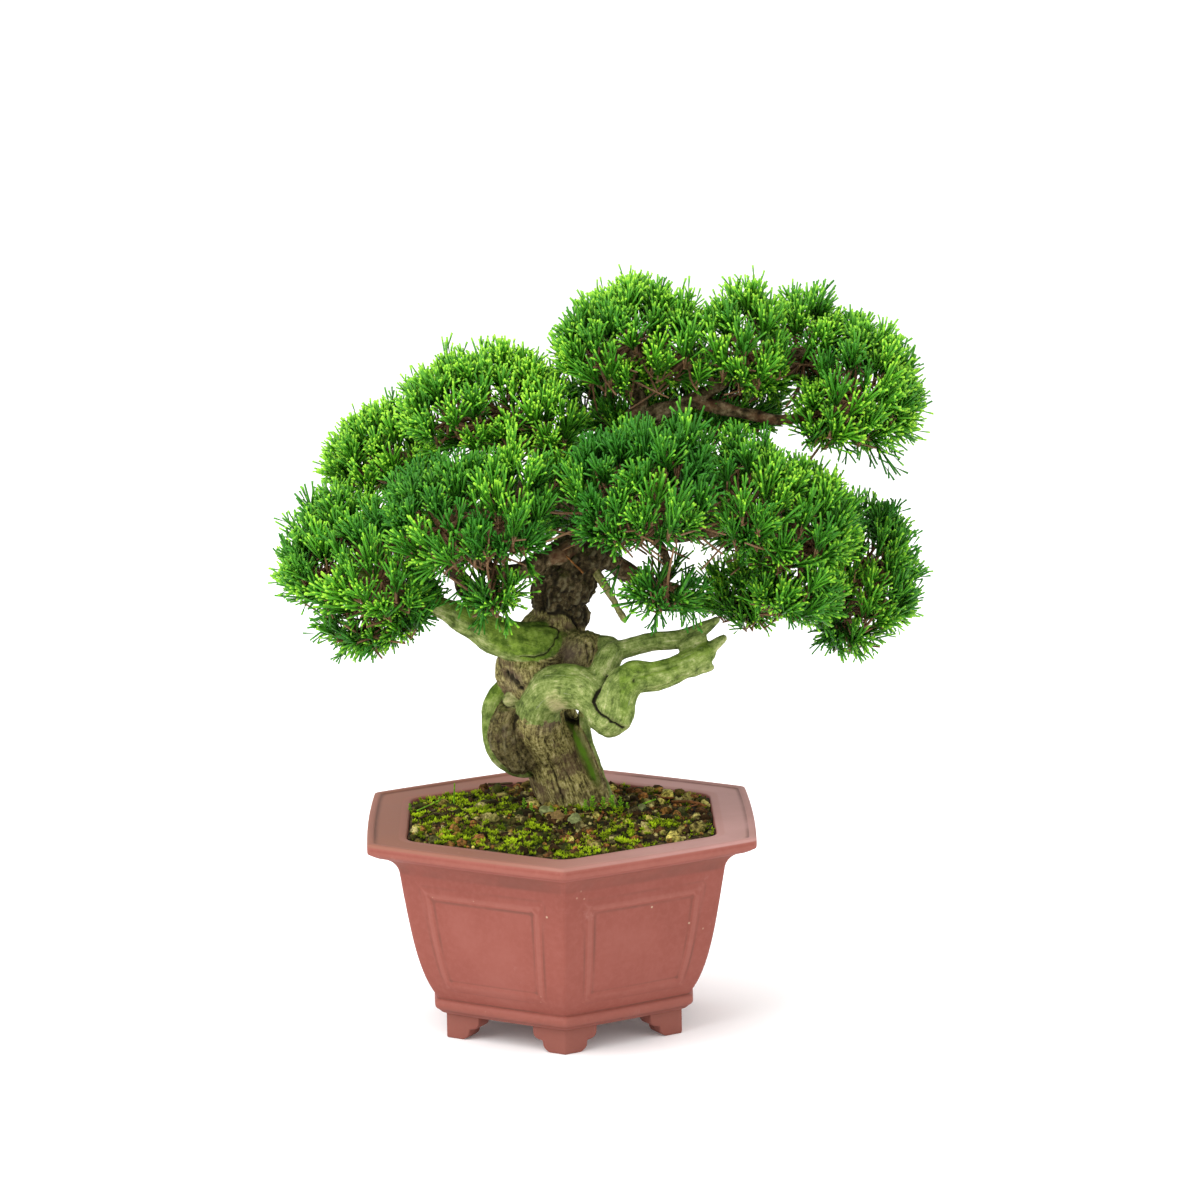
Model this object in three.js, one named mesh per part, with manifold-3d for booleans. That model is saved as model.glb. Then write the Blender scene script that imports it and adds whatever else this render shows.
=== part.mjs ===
// A Chinese juniper bonsai in its hexagonal clay pot, in millimetres, +Z up.
// One corner of the pot points to the front, along -Y.
import * as THREE from "three";
import { mergeVertices } from "three/addons/utils/BufferGeometryUtils.js";
import Module from "manifold-3d";

const wasm = await Module();
wasm.setup();

// Clearance between pieces that touch on the real object.
const GAP = 0.3;

// Pot. An apothem is the distance from the pot's axis to the middle of a side.
const SIDES = 6;
const RIM_TOP = 85.4;
const RIM_UNDERSIDE = 80.6;
const RIM_APOTHEM = 77.5;
const OPENING_APOTHEM = 62;
const OPENING_CORNER_RADIUS = 10;
const SIDE_BOW = 1;
const LIP_WIDTH = 3;
const LIP_HEIGHT = 0.8;
const COVE_TOP = [73.3, 78.8];
const NECK = [64.9, 70.3];
const BASE_GROOVE = [50.6, 17];
const BEAD_APOTHEM = 51.8;
const BASE_APOTHEM = 48.2;
const FLOOR_TOP = 17;
const BODY_BULGE = [59, 28.5, 61.4, 48.5];
const CAVITY_FLOOR_APOTHEM = 43;
const CAVITY_NECK = [56.5, 66];
const CAVITY_BULGE = { low: [53, 26], high: [54.5, 50] };
const DRAIN_HOLE_RADIUS = 7.5;

// Six scalloped feet, one under each corner, cut from a hexagonal band.
const FOOT_HEIGHT = 10.4;
const FOOT_APOTHEM = 47.6;
const FOOT_THICKNESS = 9;
const FOOT_ARM_TOP = 15;
const FOOT_ARM_BOTTOM = 7;

// Raised frame on each face of the pot.
const FRAME_TOP = { z: 66.4, half: 27.7 };
const FRAME_BOTTOM = { z: 22.3, half: 23.2 };
const FRAME_BAND = 3.6;
const FRAME_RELIEF = 1;

// Plastic mesh over the drain hole.
const MESH_SIZE = 17;
const MESH_THICKNESS = 1;
const MESH_CELLS = 3;
const MESH_BAR = 1.3;

// Soil: its height at the wall, the heap round the trunk and three mounds of moss.
const SOIL_EDGE = 83.4;
const SOIL_MOUNDS = [
  { x: 4, y: 12, height: 4.2, spread: 30 },
  { x: -32, y: -6, height: 3, spread: 17.3 },
  { x: -12, y: -36, height: 2.4, spread: 16.1 },
  { x: 30, y: -22, height: 2.6, spread: 14.8 },
];
const SOIL_GRAINS = 14;
const GRAIN_RADIUS = [1.5, 2.6];

// Tree. A route is a list of points [x, y, z, radius] along a limb.
const LIMB_STEP = 8.5;
const THIN_LIMB_STEP = 15;
const THICK_LIMB_RADIUS = 6;
const TRUNK_RIDGES = 0.06;
const DEADWOOD_RIDGES = 0.03;

// The space that soil and foliage leave round the wood.
const GRIP = 0.5;

const trunk = [
  [14, 17, 62, 13],
  [11, 16.5, 76, 15],
  [6, 16, 88, 14.6],
  [0.5, 14, 104, 14],
  [-5.5, 11, 120, 13.6],
  [-9, 9, 132.5, 13.6],
  [-7, 9, 144.5, 16.2],
  [-3, 9, 156, 15],
  [2.5, 8, 168, 9.8],
  [4.2, 7, 178, 9.4],
  [8, 6, 189, 10.6],
  [14.5, 6, 198.5, 9.8],
  [21, 7, 211.5, 7.6],
  [27.5, 8, 225, 6.2],
  [32, 8, 239, 5],
  [34.5, 8, 250, 4],
];

// The green root ridge on the trunk's right; the bulge with the mouth, the burl and its knob on
// the left.
const rootRidge = [
  [8.5, 2, 128, 3],
  [9.5, -0.5, 117, 3.4],
  [13, 3, 104, 3.6],
  [17, 8, 91, 4],
  [20, 12, 80, 3.4],
];
const mouth = [
  [-6, 2, 138, 11],
  [-13, -1, 146, 12.6],
  [-10, 2, 154, 11],
];
const burl = [
  [-15, 0, 135, 3.6],
  [-19.5, -3, 128, 6.4],
  [-21, -3, 119, 8],
  [-16, 3, 108, 7],
];
const knob = [
  [-15, -3, 132, 3],
  [-19.8, -7, 135.4, 3.4],
  [-21, -8, 136.5, 1.8],
];

// Deadwood: bare, smooth and bent, still part of the trunk.
const deadwood = [
  // The thick arc over the front of the trunk.
  [
    [-5, 4, 112, 8],
    [-9, -6, 125, 8.6],
    [-6.5, -12, 135.5, 8.3],
    [-1.5, -17, 142, 8.6],
    [7.5, -21, 142.5, 8.4],
    [15, -25, 138, 7],
  ],
  // The strand that comes down into the knuckle.
  [
    [21.5, -14, 155, 4.8],
    [17.5, -18, 148, 5.4],
    [14.5, -24, 139.5, 6],
    [17, -27, 132, 6.6],
    [21, -28, 129.5, 5.6],
  ],
  // The front prong, out of the knuckle to its broken tip.
  [
    [17, -28, 130, 6],
    [22.5, -29, 133.5, 8.2],
    [24, -27, 141, 8.2],
    [29, -25, 146.8, 6.8],
    [38.5, -23, 147.4, 5.8],
    [49, -20, 150.4, 5.3],
    [58, -17, 154.5, 4.6],
    [63.5, -15, 157.5, 2],
  ],
  // The back prong.
  [
    [17.5, -17, 148, 5.2],
    [20.5, -14, 154.5, 4.8],
    [27, -12, 156.5, 3.8],
    [37.5, -11, 159, 3.5],
    [50, -12, 160, 3.8],
    [58, -12, 164, 3],
    [64.5, -12, 168, 1.2],
  ],
  // The bridge from the trunk to the back prong.
  [
    [8, 6, 156.5, 5],
    [18.5, -4, 158, 3.8],
    [25, -12, 156.5, 3.2],
  ],
  // The loop behind the burl.
  [
    [-11, 7, 137, 3.6],
    [-21.5, 1, 139, 3.5],
    [-27.6, -1, 131.5, 3.4],
    [-28.2, -1, 120.5, 3.4],
    [-25, 1, 110, 3.6],
    [-18, 6, 104, 3.8],
    [-9, 12, 102, 4],
  ],
];

const branches = [
  // The first branch, thick, low and to the left.
  [
    [0, 5, 156, 10],
    [-10.5, -4, 156.5, 9.4],
    [-23.5, -7, 161.5, 7.8],
    [-35.5, -6, 167, 6],
    [-47.5, -5, 173, 4.6],
    [-58, -4, 177.5, 3.7],
    [-71, -4, 183, 2.8],
    [-86, -3, 190, 1.6],
  ],
  // Its shoot to the back.
  [
    [-24, -5, 161, 5.4],
    [-36, 10, 176, 3.6],
    [-46, 28, 189, 2.6],
    [-48, 44, 199, 1.6],
  ],
  // The long branch behind the trunk to the left.
  [
    [16, 8, 205, 4.8],
    [-5, 28, 211, 3.6],
    [-35, 38, 220, 2.8],
    [-70, 40, 230, 1.6],
  ],
  // The branch that bends to the front left.
  [
    [8, 2, 195, 5],
    [-4, -7, 193, 3.6],
    [-16, -16, 189, 3],
    [-29, -25, 193, 2.6],
    [-38, -33, 206, 2],
    [-42, -36, 216, 1.3],
  ],
  // The upper left branch.
  [
    [22, 8, 216, 4.4],
    [6, 12, 229, 3.4],
    [-10, 14, 241, 2.6],
    [-26, 12, 251, 1.6],
  ],
  // The short branch to the front.
  [
    [20, 2, 211, 4.2],
    [26, -14, 216, 3.4],
    [32, -28, 221, 2.6],
    [36, -36, 228, 1.6],
  ],
  // The branch to the front right.
  [
    [16, 2, 202, 4.8],
    [34, -10, 203, 3.6],
    [54, -20, 205, 3],
    [74, -28, 208, 2.4],
    [94, -26, 210, 1.5],
  ],
  // The long low branch to the right.
  [
    [14, 9, 194, 5.2],
    [35, 15, 179, 3.8],
    [58, 16, 170, 3.3],
    [79, 15, 168, 2.9],
    [102, 17, 170, 2.4],
    [122, 21, 175, 2],
    [134, 22, 184, 1.4],
  ],
  // Two lower branches to the back.
  [
    [19, 9, 205, 4.2],
    [21, 30, 207, 3.2],
    [22, 48, 209, 2.4],
    [24, 60, 212, 1.4],
  ],
  [
    [16, 9, 200, 4.6],
    [43, 30, 198, 3.4],
    [68, 46, 199, 2.4],
    [94, 53, 201, 1.4],
  ],
  // Two branches to the back, under the crown.
  [
    [29, 8, 231, 3.6],
    [24, 18, 240, 2.8],
    [18, 30, 248, 1.8],
  ],
  [
    [31, 8, 237, 3.6],
    [46, 22, 246, 2.8],
    [62, 30, 250, 2.2],
    [77, 30, 252, 1.4],
  ],
  // The twig of the tuft that hangs in front.
  [
    [30, -7, 203, 2.6],
    [38, -16, 202, 2],
    [43, -28, 196, 1.6],
    [43, -36, 187, 1.2],
  ],
  // The crown: a leader to the left, its side shoot, and two shoots to the right.
  [
    [34, 8, 248, 4],
    [33, 8, 260, 3],
    [32, 8, 272, 2.2],
    [31, 8, 282, 1.4],
  ],
  [
    [33, 8, 254, 2.4],
    [24, 4, 262, 1.9],
    [16, 2, 276, 1.3],
  ],
  [
    [33, 8, 245, 4.2],
    [47, 6, 251, 3.2],
    [60, 4, 256, 3],
    [71, 3, 264, 2.6],
    [88, 4, 270, 2],
    [104, 8, 274, 1.3],
  ],
  [
    [58, 4, 254, 3],
    [76, 1, 249, 2.4],
    [96, -1, 247, 2],
    [118, 0, 254, 1.7],
    [132, 3, 256, 1.2],
  ],
  // A short dead stub under the fork.
  [
    [14, 0, 190, 1.8],
    [20, -4, 180, 1.5],
    [24, -5, 172, 1.3],
    [27, -6, 167, 1.4],
  ],
];

// Foliage. Each pad is a few lobes [x, y, z, rx, ry, rz], whose surface the shoots' tips reach.
// Inside a lobe is its core, a share of its size.
const CORE_SHARE = { x: 0.76, y: 0.56, z: 0.62 };
const CORE_RELIEF = 0.1;
const CORE_MARGIN = 0.1;

// Shoots leave a core's faces near their middles and point away from a heart below its centre.
const SHOOT_RADIUS = 1;
const SHOOT_SINK = 4.5;
const SHOOT_SPREAD = 0.5;
const SHOOT_RISE = 0.1;
const SHOOT_SPACING = 4.2;
const SHOOTS_PER_FACE = 2;
const FOOT_FROM_MIDDLE = [0.2, 0.36];
const TIP_REACH = [0.93, 1.05];
const HEART_DROP = 0.35;
const SHORTENED = [1, 0.8, 0.62];
const SHOOT_SAMPLES = 12;
const WOOD_SAMPLE_STEP = 1.5;
const WOOD_SAMPLE_GROWTH = 1.12;
const pads = {
  foliage_crown_left: [
    [18, 2, 280, 18, 30, 19],
    [34, 14, 286, 22, 34, 21],
    [51, 4, 279, 17, 30, 22],
  ],
  foliage_crown_middle: [
    [76, 0, 282, 19, 34, 25],
    [101, 14, 278, 19, 32, 26],
  ],
  foliage_crown_right: [
    [120, 0, 267, 21, 34, 25],
    [134, 8, 253, 18, 28, 27],
    [111, -8, 250, 20, 22, 15],
  ],
  foliage_crown_back: [
    [19, 32, 253, 21, 24, 16],
    [46, 36, 256, 21, 26, 18],
    [77, 30, 254, 22, 26, 16],
  ],
  foliage_upper_left: [
    [-44, 4, 255, 22, 30, 21],
    [-22, 16, 257, 24, 34, 23],
    [-4, 2, 250, 19, 28, 20],
  ],
  foliage_back_left: [
    [-80, 44, 229, 18, 28, 20],
    [-66, 38, 233, 18, 28, 22],
  ],
  foliage_low_left: [
    [-97, 0, 192, 20, 30, 25],
    [-71, -14, 195, 24, 34, 26],
    [-80, -2, 171, 20, 30, 22],
    [-87, 14, 207, 18, 26, 18],
    [-62, -2, 178, 16, 26, 19],
  ],
  foliage_mid_left: [
    [-46, -36, 219, 24, 30, 25],
    [-18, -30, 222, 24, 32, 26],
    [-22, -34, 192, 17, 20, 25],
  ],
  foliage_centre: [
    [21, -36, 226, 20, 32, 28],
    [45, -42, 229, 21, 34, 31],
  ],
  foliage_front_hanging: [[43, -36, 188, 19, 22, 24]],
  foliage_mid_right: [
    [75, -32, 225, 21, 32, 28],
    [101, -22, 209, 20, 30, 28],
    [96, -26, 182, 20, 22, 20],
  ],
  foliage_low_right: [
    [129, 20, 195, 19, 30, 23],
    [135, 24, 174, 18, 30, 26],
    [117, 16, 159, 18, 25, 21],
  ],
  foliage_low_right_inner: [[77, 13, 174, 23, 24, 17]],
  foliage_back_centre: [
    [9, 58, 211, 25, 30, 25],
    [37, 58, 214, 25, 32, 26],
  ],
  foliage_back_right: [
    [79, 54, 205, 24, 30, 25],
    [103, 48, 198, 22, 30, 25],
  ],
  foliage_back_low_left: [
    [-50, 52, 202, 17, 28, 24],
    [-29, 46, 205, 18, 28, 24],
  ],
};

// Materials.
const clay = new THREE.MeshStandardMaterial({ color: 0xa35b4c, roughness: 0.85, metalness: 0 });
const soilMix = new THREE.MeshStandardMaterial({ color: 0x5a4a2c, roughness: 1, metalness: 0 });
const bark = new THREE.MeshStandardMaterial({ color: 0x6b5a42, roughness: 0.95, metalness: 0 });
const foliage = new THREE.MeshStandardMaterial({ color: 0x2f7a24, roughness: 0.7, metalness: 0 });
const netting = new THREE.MeshStandardMaterial({ color: 0x1c1f1d, roughness: 0.6, metalness: 0 });

// A closed geometry as a solid that can be joined and cut.
function solidOf(geometry) {
  const bare = geometry.clone();
  bare.deleteAttribute("normal");
  bare.deleteAttribute("uv");
  const merged = mergeVertices(bare, 1e-4);
  return new wasm.Manifold(
    new wasm.Mesh({
      numProp: 3,
      vertProperties: merged.attributes.position.array,
      triVerts: new Uint32Array(merged.index.array),
    }),
  );
}

// A solid's largest body as a named mesh; the loose scraps that cutting leaves are dropped.
function meshOf(name, solid, material) {
  const bodies = solid.decompose().sort((a, b) => b.volume() - a.volume());
  const { vertProperties, triVerts } = bodies[0].getMesh();
  const geometry = new THREE.BufferGeometry();
  geometry.setAttribute("position", new THREE.BufferAttribute(vertProperties, 3));
  geometry.setIndex(new THREE.BufferAttribute(triVerts, 1));
  geometry.computeVertexNormals();
  const mesh = new THREE.Mesh(geometry, material);
  mesh.name = name;
  return mesh;
}

function join(solids) {
  return wasm.Manifold.union(solids);
}

// The same numbers from 0 to 1 on each run, for every draw of chance.
function randomSource(seed) {
  let state = seed;
  return () => {
    state = (state * 1664525 + 1013904223) % 4294967296;
    return state / 4294967296;
  };
}

// The direction of a corner of the hexagon, counted from the front one.
function cornerAngle(i) {
  return -Math.PI / 2 + (i * 2 * Math.PI) / SIDES;
}

// A hexagon with an apothem of 1 and sharp corners; bow is how far its sides stand out.
function sharpHexagon(bow) {
  const toCorner = 1 / Math.cos(Math.PI / SIDES);
  const toControl = 1 + 2 * bow;
  const shape = new THREE.Shape();
  shape.moveTo(toCorner * Math.cos(cornerAngle(0)), toCorner * Math.sin(cornerAngle(0)));
  for (let i = 1; i <= SIDES; i++) {
    const middle = cornerAngle(i - 0.5);
    const corner = cornerAngle(i);
    shape.quadraticCurveTo(
      toControl * Math.cos(middle),
      toControl * Math.sin(middle),
      toCorner * Math.cos(corner),
      toCorner * Math.sin(corner),
    );
  }
  return shape;
}

// A hexagon with an apothem of 1 and round corners.
function roundHexagon(radius) {
  const toCentre = (1 - radius) / Math.cos(Math.PI / SIDES);
  const half = Math.PI / SIDES;
  const shape = new THREE.Shape();
  for (let i = 0; i < SIDES; i++) {
    const angle = cornerAngle(i);
    const x = toCentre * Math.cos(angle);
    const y = toCentre * Math.sin(angle);
    shape.absarc(x, y, radius, angle - half, angle + half, false);
  }
  return shape;
}

// A hexagonal solid that follows a profile of points (apothem, z) from the bottom up.
function hexagonalSolid(outline, profile, curveSegments = 2) {
  const rings = profile.length - 1;
  const geometry = new THREE.ExtrudeGeometry(outline, {
    depth: 1,
    steps: rings,
    curveSegments,
    bevelEnabled: false,
  });
  const place = geometry.attributes.position;
  for (let i = 0; i < place.count; i++) {
    const ring = profile[Math.round(place.getZ(i) * rings)];
    place.setXYZ(i, place.getX(i) * ring.x, place.getY(i) * ring.x, ring.y);
  }
  return solidOf(geometry);
}

// The pot's outer profile from its underside to the rim's top edge.
function outerProfile() {
  const path = new THREE.Path();
  path.moveTo(BASE_APOTHEM, FOOT_HEIGHT);
  path.lineTo(BEAD_APOTHEM - 0.8, FOOT_HEIGHT + 2.2);
  path.quadraticCurveTo(BEAD_APOTHEM + 0.7, FOOT_HEIGHT + 4.2, ...BASE_GROOVE);
  path.bezierCurveTo(...BODY_BULGE, ...NECK);
  path.quadraticCurveTo(NECK[0] + 1.2, COVE_TOP[1] - 1.5, ...COVE_TOP);
  path.lineTo(RIM_APOTHEM - 0.6, RIM_UNDERSIDE);
  path.lineTo(RIM_APOTHEM, RIM_UNDERSIDE + 0.8);
  path.lineTo(RIM_APOTHEM, RIM_TOP);
  return path.getPoints(5);
}

// The inside of the pot up to a height, drawn in by inset all round, its corners rounded.
function potInside(inset, top) {
  const path = new THREE.Path();
  const [lowX, lowZ] = CAVITY_BULGE.low;
  const [highX, highZ] = CAVITY_BULGE.high;
  const [neckX, neckZ] = CAVITY_NECK;
  path.moveTo(CAVITY_FLOOR_APOTHEM - inset, FLOOR_TOP + inset);
  path.bezierCurveTo(lowX - inset, lowZ, highX - inset, highZ, neckX - inset, neckZ);
  path.lineTo(OPENING_APOTHEM - inset, RIM_UNDERSIDE);
  path.lineTo(OPENING_APOTHEM - inset, top);
  const outline = roundHexagon(OPENING_CORNER_RADIUS / OPENING_APOTHEM);
  return hexagonalSolid(outline, path.getPoints(2), 1);
}

// The raised frames: the pot's own surface, a little larger, kept only where six frames lie.
function frames(outline) {
  const profile = outerProfile().map((p) => new THREE.Vector2(p.x + FRAME_RELIEF, p.y));
  const inBody = profile.filter((p) => p.y >= BASE_GROOVE[1] && p.y <= NECK[1]);
  const skin = hexagonalSolid(outline, inBody);
  const slope = (FRAME_TOP.half - FRAME_BOTTOM.half) / (FRAME_TOP.z - FRAME_BOTTOM.z);
  const frame = new THREE.Shape([
    new THREE.Vector2(-FRAME_BOTTOM.half, FRAME_BOTTOM.z),
    new THREE.Vector2(FRAME_BOTTOM.half, FRAME_BOTTOM.z),
    new THREE.Vector2(FRAME_TOP.half, FRAME_TOP.z),
    new THREE.Vector2(-FRAME_TOP.half, FRAME_TOP.z),
  ]);
  const innerBottom = FRAME_BOTTOM.half - FRAME_BAND + slope * FRAME_BAND;
  const innerTop = FRAME_TOP.half - FRAME_BAND - slope * FRAME_BAND;
  frame.holes.push(
    new THREE.Path([
      new THREE.Vector2(-innerBottom, FRAME_BOTTOM.z + FRAME_BAND),
      new THREE.Vector2(-innerTop, FRAME_TOP.z - FRAME_BAND),
      new THREE.Vector2(innerTop, FRAME_TOP.z - FRAME_BAND),
      new THREE.Vector2(innerBottom, FRAME_BOTTOM.z + FRAME_BAND),
    ]),
  );
  const block = new THREE.ExtrudeGeometry(frame, {
    depth: RIM_APOTHEM - BASE_APOTHEM,
    bevelEnabled: false,
  });
  block.translate(0, 0, BASE_APOTHEM);
  block.rotateX(Math.PI / 2);
  block.rotateZ(Math.PI);
  return join(
    eachSide((turn) => {
      const placed = block.clone();
      placed.rotateZ(turn);
      return solidOf(placed).intersect(skin);
    }),
  );
}

// Runs make(turn) for the six sides, turn being the side's angle from the +Y direction.
function eachSide(make) {
  return Array.from({ length: SIDES }, (_, i) => make(Math.PI / SIDES + (i * 2 * Math.PI) / SIDES));
}

// The feet: a hexagonal band with a scalloped opening cut through the middle of each side.
function feet(outline) {
  const profile = [
    new THREE.Vector2(FOOT_APOTHEM - 1.2, 0),
    new THREE.Vector2(FOOT_APOTHEM, 1),
    new THREE.Vector2(FOOT_APOTHEM - 0.8, 5),
    new THREE.Vector2(FOOT_APOTHEM, FOOT_HEIGHT + 1),
  ];
  const inside = [
    new THREE.Vector2(FOOT_APOTHEM - FOOT_THICKNESS, -1),
    new THREE.Vector2(FOOT_APOTHEM - FOOT_THICKNESS, FOOT_HEIGHT + 2),
  ];
  const band = hexagonalSolid(outline, profile).subtract(hexagonalSolid(outline, inside));
  const halfSide = FOOT_APOTHEM * Math.tan(Math.PI / SIDES);
  const low = halfSide - FOOT_ARM_BOTTOM;
  const high = halfSide - FOOT_ARM_TOP;
  const step = (low + high) / 2;
  const edge = new THREE.Path();
  edge.moveTo(low, -1);
  edge.lineTo(low, 0.8);
  edge.quadraticCurveTo(step + 1.2, 1.6, step + 0.6, 4.4);
  edge.quadraticCurveTo(high + 0.4, 5, high, 8.6);
  edge.lineTo(high, FOOT_HEIGHT + 2);
  const right = edge.getPoints(2);
  const left = right.map((p) => new THREE.Vector2(-p.x, p.y)).reverse();
  const opening = new THREE.ExtrudeGeometry(new THREE.Shape([...right, ...left]), {
    depth: FOOT_THICKNESS + 4,
    bevelEnabled: false,
  });
  opening.translate(0, 0, FOOT_APOTHEM - FOOT_THICKNESS - 2);
  opening.rotateX(Math.PI / 2);
  opening.rotateZ(Math.PI);
  const openings = eachSide((turn) => {
    const placed = opening.clone();
    placed.rotateZ(turn);
    return solidOf(placed);
  });
  return band.subtract(join(openings));
}

function pot() {
  const outline = sharpHexagon(SIDE_BOW / RIM_APOTHEM);
  const straight = sharpHexagon(0);
  const body = hexagonalSolid(outline, outerProfile());
  const recess = hexagonalSolid(outline, [
    new THREE.Vector2(RIM_APOTHEM - LIP_WIDTH, RIM_TOP - LIP_HEIGHT),
    new THREE.Vector2(RIM_APOTHEM - LIP_WIDTH, RIM_TOP + 1),
  ]);
  const drain = new THREE.CylinderGeometry(DRAIN_HOLE_RADIUS, DRAIN_HOLE_RADIUS, 2 * FLOOR_TOP, 16);
  drain.rotateX(Math.PI / 2);
  const clayBody = join([body, frames(outline), feet(straight)]);
  return clayBody.subtract(join([recess, potInside(0, RIM_TOP + 1), solidOf(drain)]));
}

// A square grid of crossing bars that lies on the pot's floor over the drain hole.
function drainMesh() {
  const bars = [];
  for (let i = 0; i <= MESH_CELLS; i++) {
    const across = (i / MESH_CELLS - 0.5) * (MESH_SIZE - MESH_BAR);
    const bar = new THREE.BoxGeometry(MESH_BAR, MESH_SIZE, MESH_THICKNESS);
    bar.translate(across, 0, FLOOR_TOP + GAP + MESH_THICKNESS / 2);
    bars.push(solidOf(bar), solidOf(bar.clone().rotateZ(Math.PI / 2)));
  }
  return join(bars);
}

// The height of the soil: low at the pot's wall, with its mounds and a fine ripple.
function soilHeight(x, y) {
  const mounds = SOIL_MOUNDS.map((mound) => {
    const distance = Math.hypot(x - mound.x, y - mound.y) / mound.spread;
    return mound.height * Math.exp(-(distance ** 2));
  });
  const coarse = 0.5 * Math.sin(x * 0.31 + 1) * Math.cos(y * 0.27);
  const fine = 0.35 * Math.sin(x * 0.7 - y * 0.55);
  return mounds.reduce((sum, height) => sum + height, SOIL_EDGE + coarse + fine);
}

// The soil fills the pot; coarse grains lie half sunk in its top, and the trunk stands in a hole.
function soil(buriedWood) {
  const fill = potInside(GAP, RIM_TOP + 12);
  const width = 2 * OPENING_APOTHEM;
  const block = new THREE.BoxGeometry(width, width * 1.2, RIM_TOP, 11, 13, 1);
  const place = block.attributes.position;
  for (let i = 0; i < place.count; i++) {
    const top = soilHeight(place.getX(i), place.getY(i));
    place.setZ(i, place.getZ(i) > 0 ? top : 0);
  }
  const random = randomSource(7);
  const grains = [];
  while (grains.length < SOIL_GRAINS) {
    const x = (random() - 0.5) * 1.8 * OPENING_APOTHEM;
    const y = (random() - 0.5) * 1.9 * OPENING_APOTHEM;
    const radius = THREE.MathUtils.lerp(...GRAIN_RADIUS, random());
    const grain = new THREE.IcosahedronGeometry(radius, 0);
    grain.scale(1, 0.85, 0.75);
    grain.rotateZ(random() * Math.PI);
    grain.rotateX(random() * Math.PI);
    grain.translate(x, y, soilHeight(x, y) + 0.15 * radius);
    grains.push(solidOf(grain));
  }
  const pocket = new THREE.BoxGeometry(MESH_SIZE + 2 * GAP, MESH_SIZE + 2 * GAP, 2 * MESH_THICKNESS);
  pocket.translate(0, 0, FLOOR_TOP + 2 * GAP);
  return join([solidOf(block), ...grains])
    .intersect(fill)
    .subtract(join([solidOf(pocket), ...buriedWood]));
}

function curveOf(route) {
  return new THREE.CatmullRomCurve3(route.map(([x, y, z]) => new THREE.Vector3(x, y, z)));
}

// A limb's radius at a share of its length.
function radiusAt(route, curve, share) {
  const at = curve.getUtoTmapping(share) * (route.length - 1);
  const before = Math.min(Math.floor(at), route.length - 2);
  return THREE.MathUtils.lerp(route[before][3], route[before + 1][3], at - before);
}

// A limb: a cylinder bent along its route and tapered, with ridges that wind round it.
// With grow it is thicker all round, as the space that a neighbour leaves for it.
function limb(route, sides, { step = LIMB_STEP, ridges = 0, grow = 0 } = {}) {
  const curve = curveOf(route);
  const steps = Math.max(3, Math.round(curve.getLength() / step));
  const { tangents, normals, binormals } = curve.computeFrenetFrames(steps);
  const geometry = new THREE.CylinderGeometry(1, 1, 1, sides, steps);
  const place = geometry.attributes.position;
  const point = new THREE.Vector3();
  for (let i = 0; i < place.count; i++) {
    const x = place.getX(i);
    const z = place.getZ(i);
    const ring = Math.round((0.5 - place.getY(i)) * steps);
    const radius = radiusAt(route, curve, ring / steps);
    const around = Math.atan2(x, z);
    const relief =
      1 + ridges * (Math.sin(3 * around + 0.5 * ring) + 0.6 * Math.sin(5 * around - 0.8 * ring + 1));
    const reach = radius * relief + grow;
    const end = ring === 0 ? -grow : ring === steps ? grow : 0;
    point.copy(curve.getPointAt(ring / steps));
    point.addScaledVector(tangents[ring], end);
    point.addScaledVector(normals[ring], x * reach);
    point.addScaledVector(binormals[ring], z * reach);
    place.setXYZ(i, point.x, point.y, point.z);
  }
  return solidOf(geometry);
}

// The trunk and its root ridge, the two limbs that go down into the soil.
function roots(grow) {
  return [limb(trunk, 12, { ridges: TRUNK_RIDGES, grow }), limb(rootRidge, 6, { grow })];
}

// Every limb of the tree; grown limbs are the space that the foliage leaves for them.
function limbs(grow) {
  return [
    ...roots(grow),
    limb(mouth, 8, { ridges: TRUNK_RIDGES, grow }),
    limb(burl, 7, { ridges: TRUNK_RIDGES, grow }),
    limb(knob, 6, { step: 3, grow }),
    ...deadwood.map((route) => limb(route, 7, { ridges: DEADWOOD_RIDGES, grow })),
    ...branches.map((route) => {
      const thick = route[0][3] > THICK_LIMB_RADIUS;
      return limb(route, thick ? 8 : 5, { step: thick ? LIMB_STEP : THIN_LIMB_STEP, grow });
    }),
  ];
}

// A lobe's core: a rough many-sided lump, its corners pulled in and out by a formula.
function coreGeometry(lobe, grow) {
  const [x, y, z, rx, ry, rz] = lobe;
  const geometry = new THREE.IcosahedronGeometry(1, 0);
  const place = geometry.attributes.position;
  for (let i = 0; i < place.count; i++) {
    const u = place.getX(i);
    const v = place.getY(i);
    const w = place.getZ(i);
    const relief = 1 + CORE_RELIEF * Math.sin(7 * u + x) * Math.cos(6 * v - y + w);
    place.setXYZ(
      i,
      x + u * (rx * CORE_SHARE.x * relief + grow),
      y + v * (ry * CORE_SHARE.y * relief + grow),
      z + w * (rz * CORE_SHARE.z * relief + grow),
    );
  }
  return geometry;
}

// How far out a point lies in a lobe: below 1 inside it, 1 on the surface that the tips reach.
function depthIn([x, y, z, rx, ry, rz], point) {
  return Math.hypot((point.x - x) / rx, (point.y - y) / ry, (point.z - z) / rz);
}

// The same for the lobe's core.
function depthInCore([x, y, z, rx, ry, rz], point) {
  const inner = [x, y, z, rx * CORE_SHARE.x, ry * CORE_SHARE.y, rz * CORE_SHARE.z];
  return depthIn(inner, point);
}

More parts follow.
